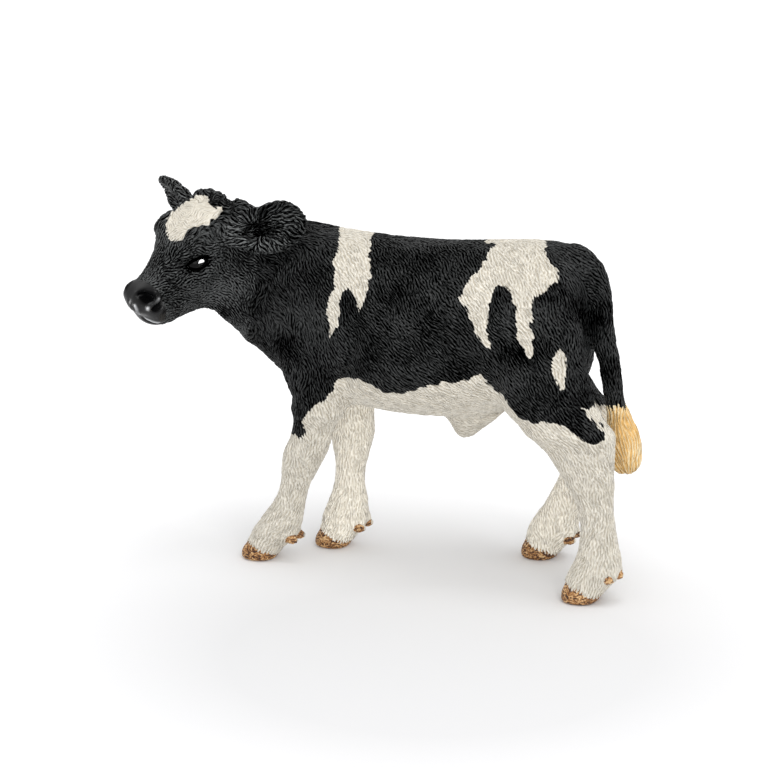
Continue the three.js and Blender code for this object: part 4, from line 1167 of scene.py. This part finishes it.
def build_floor():
    """Pale matt paper sweep that takes the soft shadows. To the camera it glows more and more
    with its distance from a place before the figure, so that it ends in the white of the
    background, sooner behind than in front."""
    side = FLOOR_HALF
    points = [(-side, -side, 0), (side, -side, 0), (side, side, 0), (-side, side, 0)]
    mesh = bpy.data.meshes.new("floor")
    mesh.from_pydata(points, [], [(0, 1, 2, 3)])
    floor = bpy.data.objects.new("floor", mesh)
    bpy.context.scene.collection.objects.link(floor)
    material, tree = new_material("white paper sweep")
    place = add_node(tree, "ShaderNodeTexCoord", out="Object")
    away = add_node(tree, "ShaderNodeVectorMath", {0: place, 1: SHADOW_AT},
                    out="Value", operation="DISTANCE")
    glow = add_node(tree, "ShaderNodeMath", {0: away, 1: GLOW_GAIN, 2: -GLOW_START},
                    operation="MULTIPLY_ADD", use_clamp=True)
    glow = add_node(tree, "ShaderNodeMath", {0: glow, 1: GLOW_MOST}, operation="MINIMUM")
    seen = add_node(tree, "ShaderNodeLightPath", out="Is Camera Ray")
    glow = add_node(tree, "ShaderNodeMath", {0: seen, 1: glow}, operation="MULTIPLY")
    finish_material(tree, {"Base Color": linear("#e7e7e8"), "Roughness": 0.8,
                           "Specular IOR Level": 0.1, "Emission Color": (1, 1, 1, 1),
                           "Emission Strength": glow})
    mesh.materials.append(material)


def build_world():
    """White to the camera, a gentler white as light and in reflections."""
    world = bpy.data.worlds.new("studio")
    bpy.context.scene.world = world
    world.use_nodes = True
    tree = world.node_tree
    tree.nodes.clear()
    seen = add_node(tree, "ShaderNodeLightPath", out="Is Camera Ray")
    strength = add_node(tree, "ShaderNodeMath", {0: seen, 1: 1 - WORLD_LIGHT, 2: WORLD_LIGHT},
                        operation="MULTIPLY_ADD")
    backdrop = add_node(tree, "ShaderNodeBackground",
                        {"Color": (1, 1, 1, 1), "Strength": strength})
    add_node(tree, "ShaderNodeOutputWorld", {"Surface": backdrop})


def build_lamp(name, place, size, power, only=()):
    """Soft lamp of a width and height that faces the figure. It can be kept to a few pieces,
    which then are also the only ones that shade it."""
    data = bpy.data.lights.new(name, "AREA")
    data.shape = "ELLIPSE"
    data.size, data.size_y = size
    data.energy = power
    lamp = bpy.data.objects.new(name, data)
    bpy.context.scene.collection.objects.link(lamp)
    lamp.location = place
    lamp.rotation_euler = (Vector(AIM) - Vector(place)).to_track_quat("-Z", "Y").to_euler()
    lamp.visible_camera = False
    if only:
        lit = bpy.data.collections.new(f"{name} pieces")
        for piece in only:
            lit.objects.link(bpy.data.objects[piece])
        lamp.light_linking.receiver_collection = lit
        lamp.light_linking.blocker_collection = lit


def build_camera():
    """Long lens at the photograph's view, aimed at the middle of the figure."""
    azimuth, elevation = math.radians(AZIMUTH), math.radians(ELEVATION)
    back = Vector((math.sin(azimuth) * math.cos(elevation),
                   -math.cos(azimuth) * math.cos(elevation), math.sin(elevation)))
    data = bpy.data.cameras.new("camera")
    data.sensor_width = SENSOR
    data.lens = SENSOR * FOCAL_PIXELS / PHOTO_PIXELS
    data.clip_start, data.clip_end = 0.05, 20
    camera = bpy.data.objects.new("camera", data)
    camera.location = Vector(AIM) + back * DISTANCE
    camera.rotation_euler = (-back).to_track_quat("-Z", "Y").to_euler()
    bpy.context.scene.collection.objects.link(camera)
    bpy.context.scene.camera = camera


build_floor()
build_world()
build_lamp("overhead", (0.15, -0.1, 0.75), (0.5, 0.5), 1.5)
build_lamp("key", (0.35, -0.35, 0.5), (0.2, 0.2), 0.6)
build_lamp("fill", (0.19, -0.54, 0.2), (0.4, 0.4), 0.7)
build_lamp("far legs' fill", (0.19, -0.54, 0.2), (0.4, 0.4), 1.6,
           ("right_foreleg_coat", "right_hind_leg_coat"))
build_lamp("catch light", (0.4, -0.15, 0.03), (0.4, 0.85), 80.0, ("left_eye", "right_eye"))
build_lamp("nose light", (-0.47, 0.05, 0.06), (0.25, 0.3), 0.7, ("muzzle",))
build_camera()
bpy.context.scene.view_settings.view_transform = "Standard"
